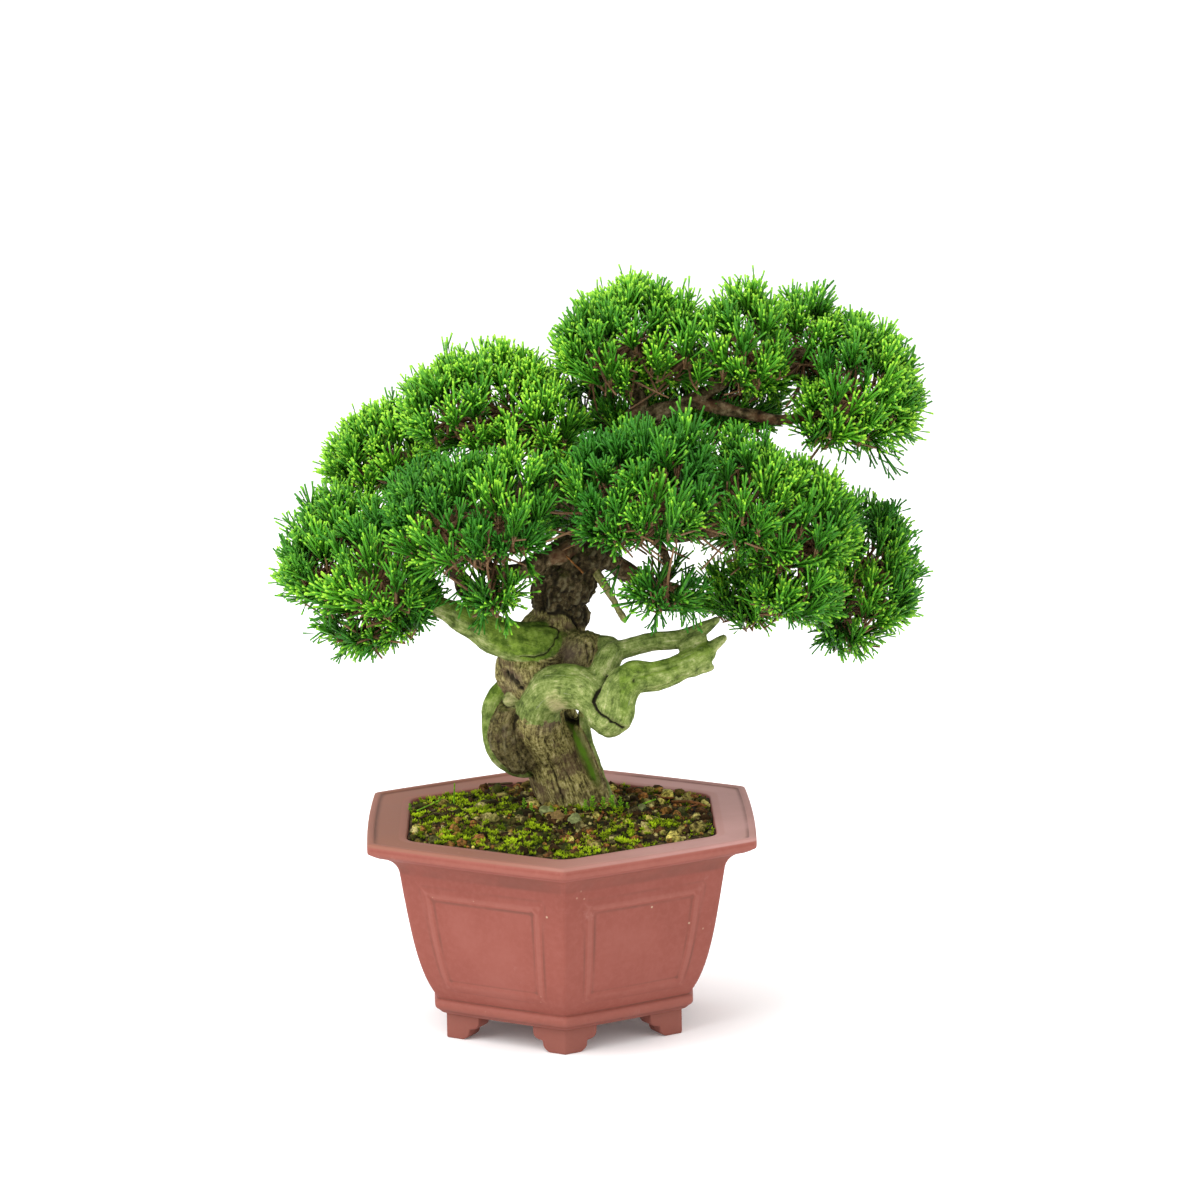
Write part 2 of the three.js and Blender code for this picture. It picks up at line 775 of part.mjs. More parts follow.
// The shoots of one lobe: they leave the middle part of the core's faces and spread out and up.
function shootsOf(lobe, siblings, random) {
  const [x, y, z, rx, ry, rz] = lobe;
  const place = coreGeometry(lobe, 0).attributes.position;
  const heart = new THREE.Vector3(x, y, z - HEART_DROP * rz);
  const shoots = [];
  for (let face = 0; face < place.count; face += 3) {
    const corners = [0, 1, 2].map((k) => new THREE.Vector3().fromBufferAttribute(place, face + k));
    const middle = new THREE.Vector3().add(corners[0]).add(corners[1]).add(corners[2]).divideScalar(3);
    const turn = Math.floor(random() * 3);
    for (let k = 0; k < SHOOTS_PER_FACE; k++) {
      const towards = THREE.MathUtils.lerp(...FOOT_FROM_MIDDLE, random());
      const foot = middle.clone().lerp(corners[(k + turn) % 3], towards);
      const out = new THREE.Vector3().subVectors(foot, heart).normalize();
      out.x += (random() - 0.5) * SHOOT_SPREAD;
      out.y += (random() - 0.5) * SHOOT_SPREAD;
      out.z += (random() - 0.5 + SHOOT_RISE) * SHOOT_SPREAD;
      out.normalize();
      const reach = THREE.MathUtils.lerp(...TIP_REACH, random());
      const tip = foot.clone();
      while (depthIn(lobe, tip) < reach) {
        tip.addScaledVector(out, 0.5);
      }
      const hidden = siblings.some((other) => other !== lobe && depthInCore(other, foot) < 1 - CORE_MARGIN);
      if (!hidden) {
        shoots.push({ foot, tip, root: foot.clone().addScaledVector(out, -SHOOT_SINK) });
      }
    }
  }
  return shoots;
}

// The least distance between two shoots outside the core.
function clearance(a, b) {
  const line = new THREE.Line3(b.foot, b.tip);
  const point = new THREE.Vector3();
  const nearest = new THREE.Vector3();
  let least = Infinity;
  for (let i = 0; i <= SHOOT_SAMPLES; i++) {
    point.lerpVectors(a.foot, a.tip, i / SHOOT_SAMPLES);
    line.closestPointToPoint(point, true, nearest);
    least = Math.min(least, point.distanceTo(nearest));
  }
  return least;
}

// Points along every limb with its radius there, for keeping shoots off the wood.
function woodSamples() {
  const samples = [];
  for (const route of [trunk, rootRidge, mouth, burl, knob, ...deadwood, ...branches]) {
    const curve = curveOf(route);
    const count = Math.ceil(curve.getLength() / WOOD_SAMPLE_STEP);
    for (let i = 0; i <= count; i++) {
      const radius = radiusAt(route, curve, i / count);
      samples.push({ point: curve.getPointAt(i / count), radius: radius * WOOD_SAMPLE_GROWTH });
    }
  }
  return samples;
}

function touchesWood(shoot, samples) {
  const line = new THREE.Line3(shoot.root, shoot.tip);
  const nearest = new THREE.Vector3();
  return samples.some(({ point, radius }) => {
    line.closestPointToPoint(point, true, nearest);
    return nearest.distanceTo(point) < radius + SHOOT_RADIUS + GRIP;
  });
}

// A shoot stays out of the cores of the other pads.
function entersCore(shoot, lobes) {
  const point = new THREE.Vector3();
  for (let i = 0; i <= SHOOT_SAMPLES; i++) {
    point.lerpVectors(shoot.root, shoot.tip, i / SHOOT_SAMPLES);
    if (lobes.some((lobe) => depthInCore(lobe, point) < 1 + CORE_RELIEF + CORE_MARGIN)) {
      return true;
    }
  }
  return false;
}

// A shoot as a slim three-sided cone.
function shootSolid({ root, tip }) {
  const length = root.distanceTo(tip);
  const geometry = new THREE.ConeGeometry(SHOOT_RADIUS, length, 3);
  geometry.translate(0, length / 2, 0);
  const up = new THREE.Vector3(0, 1, 0);
  const along = new THREE.Vector3().subVectors(tip, root).normalize();
  geometry.applyQuaternion(new THREE.Quaternion().setFromUnitVectors(up, along));
  geometry.translate(root.x, root.y, root.z);
  return solidOf(geometry);
}

// Every shoot that stays clear of the wood, of the other pads and of the shoots beside it.
// One that would touch is shortened, and left out if that isn't enough.
function placeShoots() {
  const samples = woodSamples();
  const random = randomSource(21);
  const names = Object.keys(pads);
  const kept = [];
  for (const name of names) {
    const others = names.filter((other) => other !== name).flatMap((other) => pads[other]);
    for (const { foot, tip, root } of pads[name].flatMap((lobe) => shootsOf(lobe, pads[name], random))) {
      for (const share of SHORTENED) {
        const shoot = { name, foot, root, tip: foot.clone().lerp(tip, share) };
        const crosses =
          touchesWood(shoot, samples) ||
          entersCore(shoot, others) ||
          kept.some((other) => clearance(shoot, other) < SHOOT_SPACING);
        if (!crosses) {
          kept.push(shoot);
          break;
        }
      }
    }
  }
  return kept;
}

// All the pads, each cut clear of the wood and of the cores that came before it.
function foliagePads(woodSpace) {
  const shoots = placeShoots();
  const taken = [woodSpace];
  return Object.entries(pads).map(([name, lobes]) => {
    const cores = join(lobes.map((lobe) => solidOf(coreGeometry(lobe, 0))));
    const cut = cores.subtract(join(taken));
    taken.push(...lobes.map((lobe) => solidOf(coreGeometry(lobe, GRIP))));
    const own = shoots.filter((shoot) => shoot.name === name).map(shootSolid);
    return meshOf(name, join([cut, ...own]), foliage);
  });
}

const holder = new THREE.Group();
holder.add(meshOf("pot", pot(), clay));
holder.add(meshOf("drain_mesh", drainMesh(), netting));

const plant = new THREE.Group();
plant.add(meshOf("soil", soil(roots(GRIP)), soilMix));
plant.add(meshOf("tree", join(limbs(0)), bark));
plant.add(...foliagePads(join(limbs(GRIP))));

// The part's origin is under the middle of its bounding box.
const bonsai = new THREE.Group();
bonsai.add(holder, plant);
const bounds = new THREE.Box3().setFromObject(bonsai);
const middle = bounds.getCenter(new THREE.Vector3());
bonsai.position.set(-middle.x, -middle.y, -bounds.min.z);

export default bonsai;
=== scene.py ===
# %% [markdown]
# # A Chinese juniper bonsai in a hexagonal clay pot
#
# The plain model that this lesson starts from gives every piece its place and size. Here each
# piece gets the surface of the real one: fired clay, grains and moss, fluted bark, bare green
# deadwood, and thousands of fine whipcord shoots. The plain pieces then step aside.

import math
import random

import bmesh
import bpy
import numpy as np
from mathutils import Matrix, Vector, geometry, noise


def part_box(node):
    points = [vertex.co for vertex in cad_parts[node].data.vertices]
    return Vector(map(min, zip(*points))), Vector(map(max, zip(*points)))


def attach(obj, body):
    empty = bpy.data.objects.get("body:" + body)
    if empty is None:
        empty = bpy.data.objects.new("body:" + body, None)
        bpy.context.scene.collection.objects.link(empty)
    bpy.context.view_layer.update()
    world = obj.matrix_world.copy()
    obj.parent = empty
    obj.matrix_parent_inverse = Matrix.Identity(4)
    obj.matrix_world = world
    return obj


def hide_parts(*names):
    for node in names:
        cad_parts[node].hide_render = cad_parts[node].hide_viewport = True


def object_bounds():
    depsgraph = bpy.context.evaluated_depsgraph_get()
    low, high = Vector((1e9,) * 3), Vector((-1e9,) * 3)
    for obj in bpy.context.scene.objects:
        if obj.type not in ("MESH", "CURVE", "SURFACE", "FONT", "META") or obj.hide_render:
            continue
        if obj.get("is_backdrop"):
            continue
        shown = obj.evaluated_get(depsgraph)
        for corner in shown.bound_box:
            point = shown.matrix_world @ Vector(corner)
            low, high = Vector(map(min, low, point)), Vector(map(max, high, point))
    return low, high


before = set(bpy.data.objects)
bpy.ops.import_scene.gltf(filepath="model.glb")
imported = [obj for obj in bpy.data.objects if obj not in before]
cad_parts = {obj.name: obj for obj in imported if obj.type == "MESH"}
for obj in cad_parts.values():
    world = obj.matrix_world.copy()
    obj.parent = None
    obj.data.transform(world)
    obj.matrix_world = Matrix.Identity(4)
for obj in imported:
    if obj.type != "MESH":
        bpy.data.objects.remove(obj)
cad_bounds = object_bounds()
print("plain pieces:", len(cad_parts))

# %% [markdown]
# The pot is round its own axis, so all shapes are made in millimetres measured from that axis.
# One matrix takes a finished shape to its place in metres. That keeps every object's own
# transform empty, which is what a pattern on object coordinates needs.

# %% Millimetres round the pot's axis
pot_low, pot_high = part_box("pot")
pot_axis = Vector(((pot_low.x + pot_high.x) / 2, (pot_low.y + pot_high.y) / 2, 0))
MM = 0.001
TO_FRAME = Matrix.Translation(pot_axis) @ Matrix.Scale(MM, 4)
print("pot's axis:", [round(c, 4) for c in pot_axis])


# %% A shape becomes a piece of the bonsai
def piece_of(bm, name, material, slot, *nodes):
    """Puts a shape in place as an object that rides on the bonsai and stands for plain nodes."""
    bm.transform(TO_FRAME)
    mesh = bpy.data.meshes.new(name)
    bm.to_mesh(mesh)
    bm.free()
    mesh.shade_smooth()
    mesh.materials.append(material)
    piece = bpy.data.objects.new(name, mesh)
    bpy.context.scene.collection.objects.link(piece)
    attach(piece, "root")
    if nodes:
        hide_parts(*nodes)
    print(name, "has", sum(len(p.vertices) - 2 for p in mesh.polygons), "triangles")
    return piece


# %% [markdown]
# ## Camera, light and floor
#
# The photograph was taken from a little above with a long lens, which keeps the pot's sides
# nearly parallel. The camera stands there, tilted by less than a degree as the real one was.

# %% The camera
CAMERA_AT = (-10.53, -1657.58, 491.38)
CAMERA_DOWN = math.radians(10.833)
CAMERA_TURN = math.radians(-0.954)
CAMERA_ROLL = math.radians(-0.74)
CAMERA_LENS, CAMERA_SENSOR = 125.3, 36

camera = bpy.data.objects.new("camera", bpy.data.cameras.new("camera"))
camera.data.lens = CAMERA_LENS
camera.data.sensor_width = CAMERA_SENSOR
camera.matrix_world = (
    Matrix.Translation(TO_FRAME @ Vector(CAMERA_AT))
    @ Matrix.Rotation(CAMERA_TURN, 4, "Z")
    @ Matrix.Rotation(math.pi / 2 - CAMERA_DOWN, 4, "X")
    @ Matrix.Rotation(CAMERA_ROLL, 4, "Z")
)
bpy.context.scene.collection.objects.link(camera)
bpy.context.scene.camera = camera
bpy.context.scene.view_settings.view_transform = "Standard"
print("camera at", [round(c, 3) for c in camera.location])

# %% [markdown]
# The object stands on white under broad soft light. A white world lights the shadows, a large
# lamp from the upper left gives the pot its brighter side, a second one lifts the right, and a
# third shines down from above.


# %% The lamps
def lamp(name, place, target, size, power):
    """A square soft lamp that looks from one point at another."""
    light = bpy.data.lights.new(name, "AREA")
    light.size = size
    light.energy = power
    holder = bpy.data.objects.new(name, light)
    look = Vector(target) - Vector(place)
    turn = look.to_track_quat("-Z", "Y").to_matrix().to_4x4()
    holder.matrix_world = Matrix.Translation(place) @ turn
    bpy.context.scene.collection.objects.link(holder)


# Each lamp's place and target in metres, its size and its power in watts.
LAMPS = {
    "key": ((-1.0, -0.8, 1.3), (0, 0, 0.12), 1.5, 25),
    "fill": ((1.1, -0.9, 0.8), (0, 0, 0.12), 1.0, 3),
    "top": ((0.1, 0.2, 1.6), (0, 0, 0.2), 1.2, 12),
}
for name, numbers in LAMPS.items():
    lamp(name, *numbers)

WORLD_STRENGTH = 1.1
world = bpy.data.worlds.new("white room")
world.use_nodes = True
background = world.node_tree.nodes["Background"].inputs
background["Color"].default_value = (1, 1, 1, 1)
background["Strength"].default_value = WORLD_STRENGTH
bpy.context.scene.world = world
print("lamps:", ", ".join(LAMPS))

# %% [markdown]
# A finish is a network of nodes: noise that says where, and colours that are laid over each
# other there. The class below adds and links a node in one short call, so that a material reads
# like a recipe.


# %% Materials in short steps
class Finish:
    """A material whose nodes are added and linked by short calls."""

    def __init__(self, name, **sockets):
        self.material = bpy.data.materials.new(name)
        self.material.use_nodes = True
        self.nodes = self.material.node_tree.nodes
        self.shader = self.nodes["Principled BSDF"]
        self.set(self.shader, sockets)

    def set(self, node, sockets):
        """Gives sockets a value, a colour of three numbers, or a link to another node's output."""
        for key, value in sockets.items():
            socket = node.inputs[key.replace("_", " ") if isinstance(key, str) else key]
            if isinstance(value, bpy.types.NodeSocket):
                self.material.node_tree.links.new(value, socket)
            else:
                socket.default_value = (*value, 1.0) if socket.type == "RGBA" else value

    def add(self, kind, settings=None, **sockets):
        node = self.nodes.new("ShaderNode" + kind)
        for key, value in (settings or {}).items():
            setattr(node, key, value)
        self.set(node, sockets)
        return node

    def place(self):
        return self.add("TexCoord").outputs["Object"]

    def attribute(self, name, output="Fac"):
        return self.add("Attribute", {"attribute_name": name}).outputs[output]

    def noise(self, vector, scale, detail=4.0, roughness=0.6):
        node = self.add("TexNoise", Vector=vector, Scale=scale, Detail=detail, Roughness=roughness)
        return node.outputs["Fac"]

    def math(self, operation, a, b=0.5, clamp=False):
        node = self.add("Math", {"operation": operation, "use_clamp": clamp})
        self.set(node, {0: a, 1: b})
        return node.outputs["Value"]

    def times(self, a, b):
        return self.math("MULTIPLY", a, b)

    def sum_of(self, *parts):
        """The sum of (value, weight) pairs."""
        total, *rest = [self.times(value, weight) for value, weight in parts]
        for part in rest:
            total = self.math("ADD", total, part)
        return total

    def between(self, value, low, high):
        """0 below low, 1 above high and a smooth step between them."""
        node = self.add("MapRange", {"interpolation_type": "SMOOTHSTEP"}, Value=value)
        self.set(node, {1: low, 2: high})
        return node.outputs["Result"]

    def mix(self, share, a, b):
        node = self.add("Mix", {"data_type": "RGBA"})
        self.set(node, {0: share, 6: a, 7: b})
        return node.outputs[2]

    def over(self, under, share, most, colour):
        """A colour laid over another one: share says where, and most how strongly."""
        return self.mix(self.times(share, most), under, colour)

    def ramp(self, value, *stops):
        """Colours for a value, given as stops of a place and a colour."""
        node = self.add("ValToRGB", Fac=value)
        elements = node.color_ramp.elements
        while len(elements) < len(stops):
            elements.new(1.0)
        for element, (place, colour) in zip(elements, stops):
            element.position = place
            element.color = (*colour, 1.0)
        return node.outputs["Color"]

    def bump(self, height, strength, distance_mm, under=None):
        node = self.add("Bump", Height=height, Strength=strength, Distance=distance_mm * MM)
        if under is not None:
            self.set(node, {"Normal": under})
        return node.outputs["Normal"]

    def surface(self, colour, normal):
        self.set(self.shader, {"Base Color": colour, "Normal": normal})


# %% [markdown]
# The floor is white paper, far wider than the picture. It glows a very little, so that it stays
# white where the pot keeps the light off.

# %% The floor
FLOOR_HALF = 8000

floor_bm = bmesh.new()
bmesh.ops.create_grid(floor_bm, x_segments=2, y_segments=2, size=FLOOR_HALF)
floor_bm.transform(TO_FRAME)
floor_mesh = bpy.data.meshes.new("floor")
floor_bm.to_mesh(floor_mesh)
floor_bm.free()
floor = bpy.data.objects.new("floor", floor_mesh)
paper = Finish(
    "white paper", Base_Color=(0.97, 0.97, 0.97), Roughness=0.9,
    Emission_Color=(1.0, 1.0, 1.0), Emission_Strength=0.05,
)
floor_mesh.materials.append(paper.material)
bpy.context.scene.collection.objects.link(floor)
floor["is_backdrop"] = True
print("the floor is", 2 * FLOOR_HALF * MM, "metres wide")

# %% [markdown]
# ## The pot
#
# A real pot of this kind is pressed or turned in one piece of red clay: every height has the
# same hexagonal outline, only larger or smaller. So one ring of vertices is extruded from ring
# to ring along a profile, and the outline is a formula. A formula also gives each side the
# slight outward bow and each corner the small round that a sponge leaves on wet clay.

# %% The hexagon's outline
SIDES = 6
HALF_SIDE = math.pi / SIDES
SIDE_BOW = 1 / 77.5
STEPS_PER_SIDE = 52
NEAR_CORNER = (0.965, 0.985)


def across(angle):
    """The angle from the middle of the nearest side."""
    return (angle + HALF_SIDE) % (2 * HALF_SIDE) - HALF_SIDE


def outline_reach(angle, apothem, corner, bow=SIDE_BOW):
    """How far from the axis the outline lies; corner is the radius of its corners."""
    off = abs(across(angle))
    if apothem * math.tan(off) <= (apothem - corner) * math.tan(HALF_SIDE):
        reach = apothem / math.cos(off)
    else:
        centre = (apothem - corner) / math.cos(HALF_SIDE)
        beta = HALF_SIDE - off
        reach = centre * math.cos(beta) + math.sqrt(corner**2 - (centre * math.sin(beta)) ** 2)
    share = math.tan(off) / math.tan(HALF_SIDE)
    return reach * (1 + bow * (1 - share**2))


def outline_angles():
    """Directions evenly spaced along each side, with a few more close to the corners."""
    even = np.linspace(-1, 1, STEPS_PER_SIDE + 1)[:-1]
    shares = sorted([*even, *NEAR_CORNER, *(-share for share in NEAR_CORNER)])
    return [
        2 * HALF_SIDE * side + math.atan(share * math.tan(HALF_SIDE))
        for side in range(SIDES)
        for share in shares
    ]


print("directions round the pot:", len(outline_angles()))


# %% A ring extruded from place to place
def edges_of(geom):
    return [g for g in geom if isinstance(g, bmesh.types.BMEdge)]


def verts_of(geom):
    return [g for g in geom if isinstance(g, bmesh.types.BMVert)]


def extrude_rings(bm, angles, rings):
    """Extrudes a circle from ring to ring; each ring is a function from a direction to a point."""
    circle = bmesh.ops.create_circle(bm, segments=len(angles), radius=1)["verts"]
    direction = dict(zip(circle, angles))
    first = edges = list({edge for vertex in circle for edge in vertex.link_edges})
    for k, ring in enumerate(rings):
        if k:
            made = bmesh.ops.extrude_edge_only(bm, edges=edges)["geom"]
            edges = [edge for edge in edges_of(made) if edge.is_boundary]
            direction = {vertex: direction_below(vertex, direction) for vertex in verts_of(made)}
        for vertex, angle in direction.items():
            vertex.co = ring(angle)
    return first, edges


def direction_below(vertex, direction):
    """The direction of the vertex that a new one was extruded from."""
    neighbours = (edge.other_vert(vertex) for edge in vertex.link_edges)
    return next(direction[other] for other in neighbours if other in direction)


def loft(angles, rings, closed=False):
    """A skin through rings; closed joins the last ring to the first, otherwise both are capped."""
    bm = bmesh.new()
    first, last = extrude_rings(bm, angles, rings)
    if closed:
        bmesh.ops.bridge_loops(bm, edges=first + last)
    else:
        bmesh.ops.holes_fill(bm, edges=first + last)
    bmesh.ops.recalc_face_normals(bm, faces=bm.faces)
    return bm


def ring_at(apothem, z, corner, bow=SIDE_BOW, relief=None):
    """The outline at one height, as a function from a direction to a point."""

    def point(angle):
        reach = outline_reach(angle, apothem, corner, bow)
        if relief is not None:
            reach += relief(apothem * math.tan(across(angle)), z)
        return Vector((reach * math.cos(angle), reach * math.sin(angle), z))

    return point


# %% [markdown]
# Each face carries a raised frame round a plain panel, worn soft. It is a band inside a
# trapezoid, and the clay rises over it by a smooth step, so no edge is harder than the real one.

# %% The raised frames
FRAME_TOP, FRAME_TOP_HALF = 66.4, 27.7
FRAME_BOTTOM, FRAME_BOTTOM_HALF = 22.3, 23.2
FRAME_BAND = 3.9
FRAME_RELIEF = 0.45
FRAME_SOFTNESS = 0.7


def smooth_step(value, low, high):
    share = min(max((value - low) / (high - low), 0), 1)
    return share * share * (3 - 2 * share)


def frame_relief(along, z):
    """How far the clay stands out, from the place along the side and the height."""
    rise = (z - FRAME_BOTTOM) / (FRAME_TOP - FRAME_BOTTOM)
    half = FRAME_BOTTOM_HALF + rise * (FRAME_TOP_HALF - FRAME_BOTTOM_HALF)
    depth = min(half - abs(along), z - FRAME_BOTTOM, FRAME_TOP - z)
    outer = smooth_step(depth, -0.4, 2 * FRAME_SOFTNESS)
    inner = smooth_step(depth, FRAME_BAND - FRAME_SOFTNESS, FRAME_BAND + 0.1)
    return FRAME_RELIEF * outer * (1 - inner)


# %% The pot's profile
RIM_TOP, RIM_APOTHEM = 85.4, 77.5
LIP_INNER, LIP_HEIGHT = 74.5, 0.8
OPENING = 62
OPENING_CORNER = 10
NECK, COVE_TOP, GROOVE = (64.9, 70.3), (73.3, 78.8), (50.6, 17)
UNDERSIDE, FLOOR_TOP = 10.4, 17
DRAIN_RADIUS = 7.5


def curve(points, count):
    """Points along a cubic Bezier curve of four control points."""
    flat = [Vector((*p, 0)) for p in points]
    return [(p.x, p.y) for p in geometry.interpolate_bezier(*flat, count)]


def pot_rings():
    """All rings, from the drain hole over the inside, rim and body back to the drain hole."""
    flat = RIM_TOP - LIP_HEIGHT
    inner = [ring_at(DRAIN_RADIUS, FLOOR_TOP, DRAIN_RADIUS, 0), ring_at(40, FLOOR_TOP, 10, 0)]
    wall = curve([(43, FLOOR_TOP), (53, 26), (54.5, 50), (56.5, 66)], 8)
    mouth = [(OPENING - 0.6, 80), (OPENING, 83.6), (OPENING + 0.3, flat - 0.35), (OPENING + 0.9, flat)]
    rim = [(66, flat), (72.6, flat), (LIP_INNER - 0.4, flat), (LIP_INNER, flat + 0.15)]
    lip = [(LIP_INNER + 0.35, RIM_TOP - 0.15), (LIP_INNER + 0.8, RIM_TOP), (RIM_APOTHEM - 0.8, RIM_TOP)]
    edge = [(77.25, 85.15), (77.5, 84.7), (77.55, 83), (77.5, 81.5), (77.2, 80.9), (76.6, 80.55), (75, 79.6)]
    cove = curve([COVE_TOP, (68.5, 77.8), (65.3, 75), NECK], 9)
    body = curve([NECK, (61.4, 48.5), (59, 28.5), GROOVE], 46)[1:]
    bead = curve([(50.7, 16.9), (52.6, 16.6), (52.6, 13), (50.8, 12.4)], 8)
    foot = [(49.4, 11), (48.2, UNDERSIDE), (46, UNDERSIDE), (40, UNDERSIDE)]
    rings = inner + [ring_at(a, z, 10, 0) for a, z in wall]
    rings += [ring_at(a, z, OPENING_CORNER, 0) for a, z in mouth]
    rings += [ring_at(a, z, 10 - 2.1 * k, SIDE_BOW * (k + 1) / 4) for k, (a, z) in enumerate(rim)]
    rings += [ring_at(a, z, 2.4) for a, z in lip]
    rings += [ring_at(a, z, 2) for a, z in edge + cove]
    rings += [ring_at(a, z, 2.2, relief=frame_relief) for a, z in body]
    rings += [ring_at(a, z, 2.2) for a, z in bead + foot]
    return rings + [ring_at(DRAIN_RADIUS, UNDERSIDE, DRAIN_RADIUS, 0)]


pot_bm = loft(outline_angles(), pot_rings(), closed=True)
print("pot's vertices:", len(pot_bm.verts))

# %% [markdown]
# The six feet are cloud-shaped brackets. One arm is a flat outline, extruded to its thickness
# and cut at the mitre by a plane; its mirror image makes the other arm, and a bevel takes the
# sharpness off. Six turned copies stand under the corners.

# %% A scalloped foot
FOOT_CORNER = 47.6 / math.cos(HALF_SIDE)
FOOT_THICKNESS = 9
FOOT_EDGE_ROUND = 0.55


def all_of(bm):
    return bm.verts[:] + bm.edges[:] + bm.faces[:]


def foot():
    bm = bmesh.new()
    scallop = curve([(7.6, 0), (9.3, 1), (10.6, 1.6), (10.5, 4.3)], 5)
    scallop += curve([(10.9, 4.6), (14.2, 4.7), (15, 6.3), (15, 8.8)], 6)
    corners = [(-2, 0), *scallop, (15, UNDERSIDE + 1), (-2, UNDERSIDE + 1)]
    outline = bm.faces.new([bm.verts.new((x, 0, z)) for x, z in corners])
    made = bmesh.ops.extrude_face_region(bm, geom=[outline])["geom"]
    bmesh.ops.translate(bm, verts=verts_of(made), vec=(0, FOOT_THICKNESS, 0))
    bmesh.ops.transform(bm, matrix=Matrix.Rotation(HALF_SIDE, 4, "Z"), verts=bm.verts)
    bmesh.ops.bisect_plane(bm, geom=all_of(bm), plane_co=(0, 0, 0), plane_no=(1, 0, 0), clear_inner=True)
    bmesh.ops.mirror(bm, geom=all_of(bm), axis="X", merge_dist=0.01)
    bmesh.ops.dissolve_limit(bm, angle_limit=0.02, verts=bm.verts, edges=bm.edges)
    bmesh.ops.recalc_face_normals(bm, faces=bm.faces)
    sharp = [e for e in bm.edges if e.is_manifold and e.calc_face_angle() > 0.5]
    bmesh.ops.bevel(
        bm, geom=sharp, offset=FOOT_EDGE_ROUND, segments=2, profile=0.5, affect="EDGES", material=-1
    )
    bmesh.ops.triangulate(bm, faces=[f for f in bm.faces if len(f.verts) > 4])
    bmesh.ops.translate(bm, verts=bm.verts, vec=(0, -FOOT_CORNER, 0))
    return bm


foot_bm = foot()
foot_mesh = bpy.data.meshes.new("foot")
foot_bm.to_mesh(foot_mesh)
foot_bm.free()
for corner in range(SIDES):
    turned = foot_mesh.copy()
    turned.transform(Matrix.Rotation(2 * HALF_SIDE * corner, 4, "Z"))
    pot_bm.from_mesh(turned)
    bpy.data.meshes.remove(turned)
print("a foot's faces:", len(foot_mesh.polygons))

# %% [markdown]
# Dirt, painted shade and wear follow the shape: dirt and painted shade stay where the surface is
# hollow, and wear and a painted highlight make the clay paler where it stands out. Each vertex is
# compared with its neighbours once, and the result goes into an attribute that any material can read.


# %% How hollow or proud each point is
def store(mesh, name, values, kind="FLOAT"):
    layer = mesh.attributes.new(name, kind, "POINT")
    key = "value" if kind == "FLOAT" else "vector"
    layer.data.foreach_set(key, np.asarray(values, np.float32).ravel())


def mark_hollows(mesh, passes=2):
    """Writes attribute hollow: above 0 in grooves and below 0 on ridges, in millimetres."""
    count = len(mesh.vertices)
    place = np.empty(count * 3, np.float32)
    normal = np.empty(count * 3, np.float32)
    ends = np.empty(len(mesh.edges) * 2, np.int32)
    mesh.vertices.foreach_get("co", place)
    mesh.vertices.foreach_get("normal", normal)
    mesh.edges.foreach_get("vertices", ends)
    place, normal, ends = place.reshape(-1, 3), normal.reshape(-1, 3), ends.reshape(-1, 2)
    degree = np.maximum(np.bincount(ends.ravel(), minlength=count), 1)

    def neighbours_mean(values):
        total = np.zeros_like(values)
        np.add.at(total, ends[:, 0], values[ends[:, 1]])
        np.add.at(total, ends[:, 1], values[ends[:, 0]])
        return total / degree.reshape(-1, *[1] * (values.ndim - 1))

    hollow = ((neighbours_mean(place) - place) * normal).sum(1) / MM
    for _ in range(passes):
        hollow = 0.5 * hollow + 0.5 * neighbours_mean(hollow)
    store(mesh, "hollow", hollow)


# %% [markdown]
# The clay is a pinkish brick red, a little mottled, with pale specks of grog, faint pale scuffs,
# dirt and painted shade in the groove over the base and under the rim, wear and a painted
# highlight where it stands out, and painted light that makes the top of the rim paler and greyer
# towards the right.


# %% Unglazed red clay
clay = Finish("red clay", Roughness=0.72, Specular_IOR_Level=0.32)
here = clay.place()
split = clay.add("SeparateXYZ", Vector=here).outputs
cloud = clay.noise(here, 34.0, 5.0)
fine = clay.noise(here, 420.0, 3.0)
body = clay.ramp(
    cloud, (0.3, (0.216, 0.054, 0.037)), (0.5, (0.232, 0.06, 0.042)), (0.72, (0.254, 0.073, 0.053))
)
body = clay.over(body, clay.between(fine, 0.35, 0.75), 0.4, (0.27, 0.083, 0.062))
low_down = clay.between(split["Z"], 0.018, 0.008)
body = clay.over(body, low_down, 0.6, (0.165, 0.05, 0.034))

# Painted light: the top of the rim turns paler and greyer towards the right.
painted_light_to_the_right = clay.between(split["X"], -0.06, 0.05)
rim_colour = clay.mix(painted_light_to_the_right, (0.225, 0.088, 0.054), (0.43, 0.235, 0.215))
rim_colour = clay.over(rim_colour, clay.between(cloud, 0.35, 0.75), 0.3, (0.2, 0.1, 0.08))
body = clay.mix(clay.between(split["Z"], 0.0838, 0.0845), body, rim_colour)

# %% Grog, scuffs, dirt, painted shade and painted highlight on the clay
GROG = [(-35.3, -54.4, 64), (35.2, -53.7, 60.1), (50.3, -42.8, 50.3), (-51.7, -44.4, 63.3), (-6.6, -69.8, 61)]
cells = clay.add("TexVoronoi", Vector=here, Scale=210.0, Randomness=1.0).outputs["Distance"]
specks = clay.between(cells, 0.12, 0.05)
few = clay.between(clay.noise(here, 90.0, 1.0), 0.6, 0.66)
body = clay.mix(clay.times(specks, few), body, (0.33, 0.16, 0.11))
for spot in GROG:
    away = clay.add("VectorMath", {"operation": "DISTANCE"})
    clay.set(away, {0: here, 1: TO_FRAME @ Vector(spot)})
    body = clay.over(body, clay.between(away.outputs["Value"], 0.0006, 0.0002), 1.0, (0.44, 0.3, 0.2))
scuffs = clay.between(clay.noise(here, 60.0, 8.0, 0.75), 0.63, 0.78)
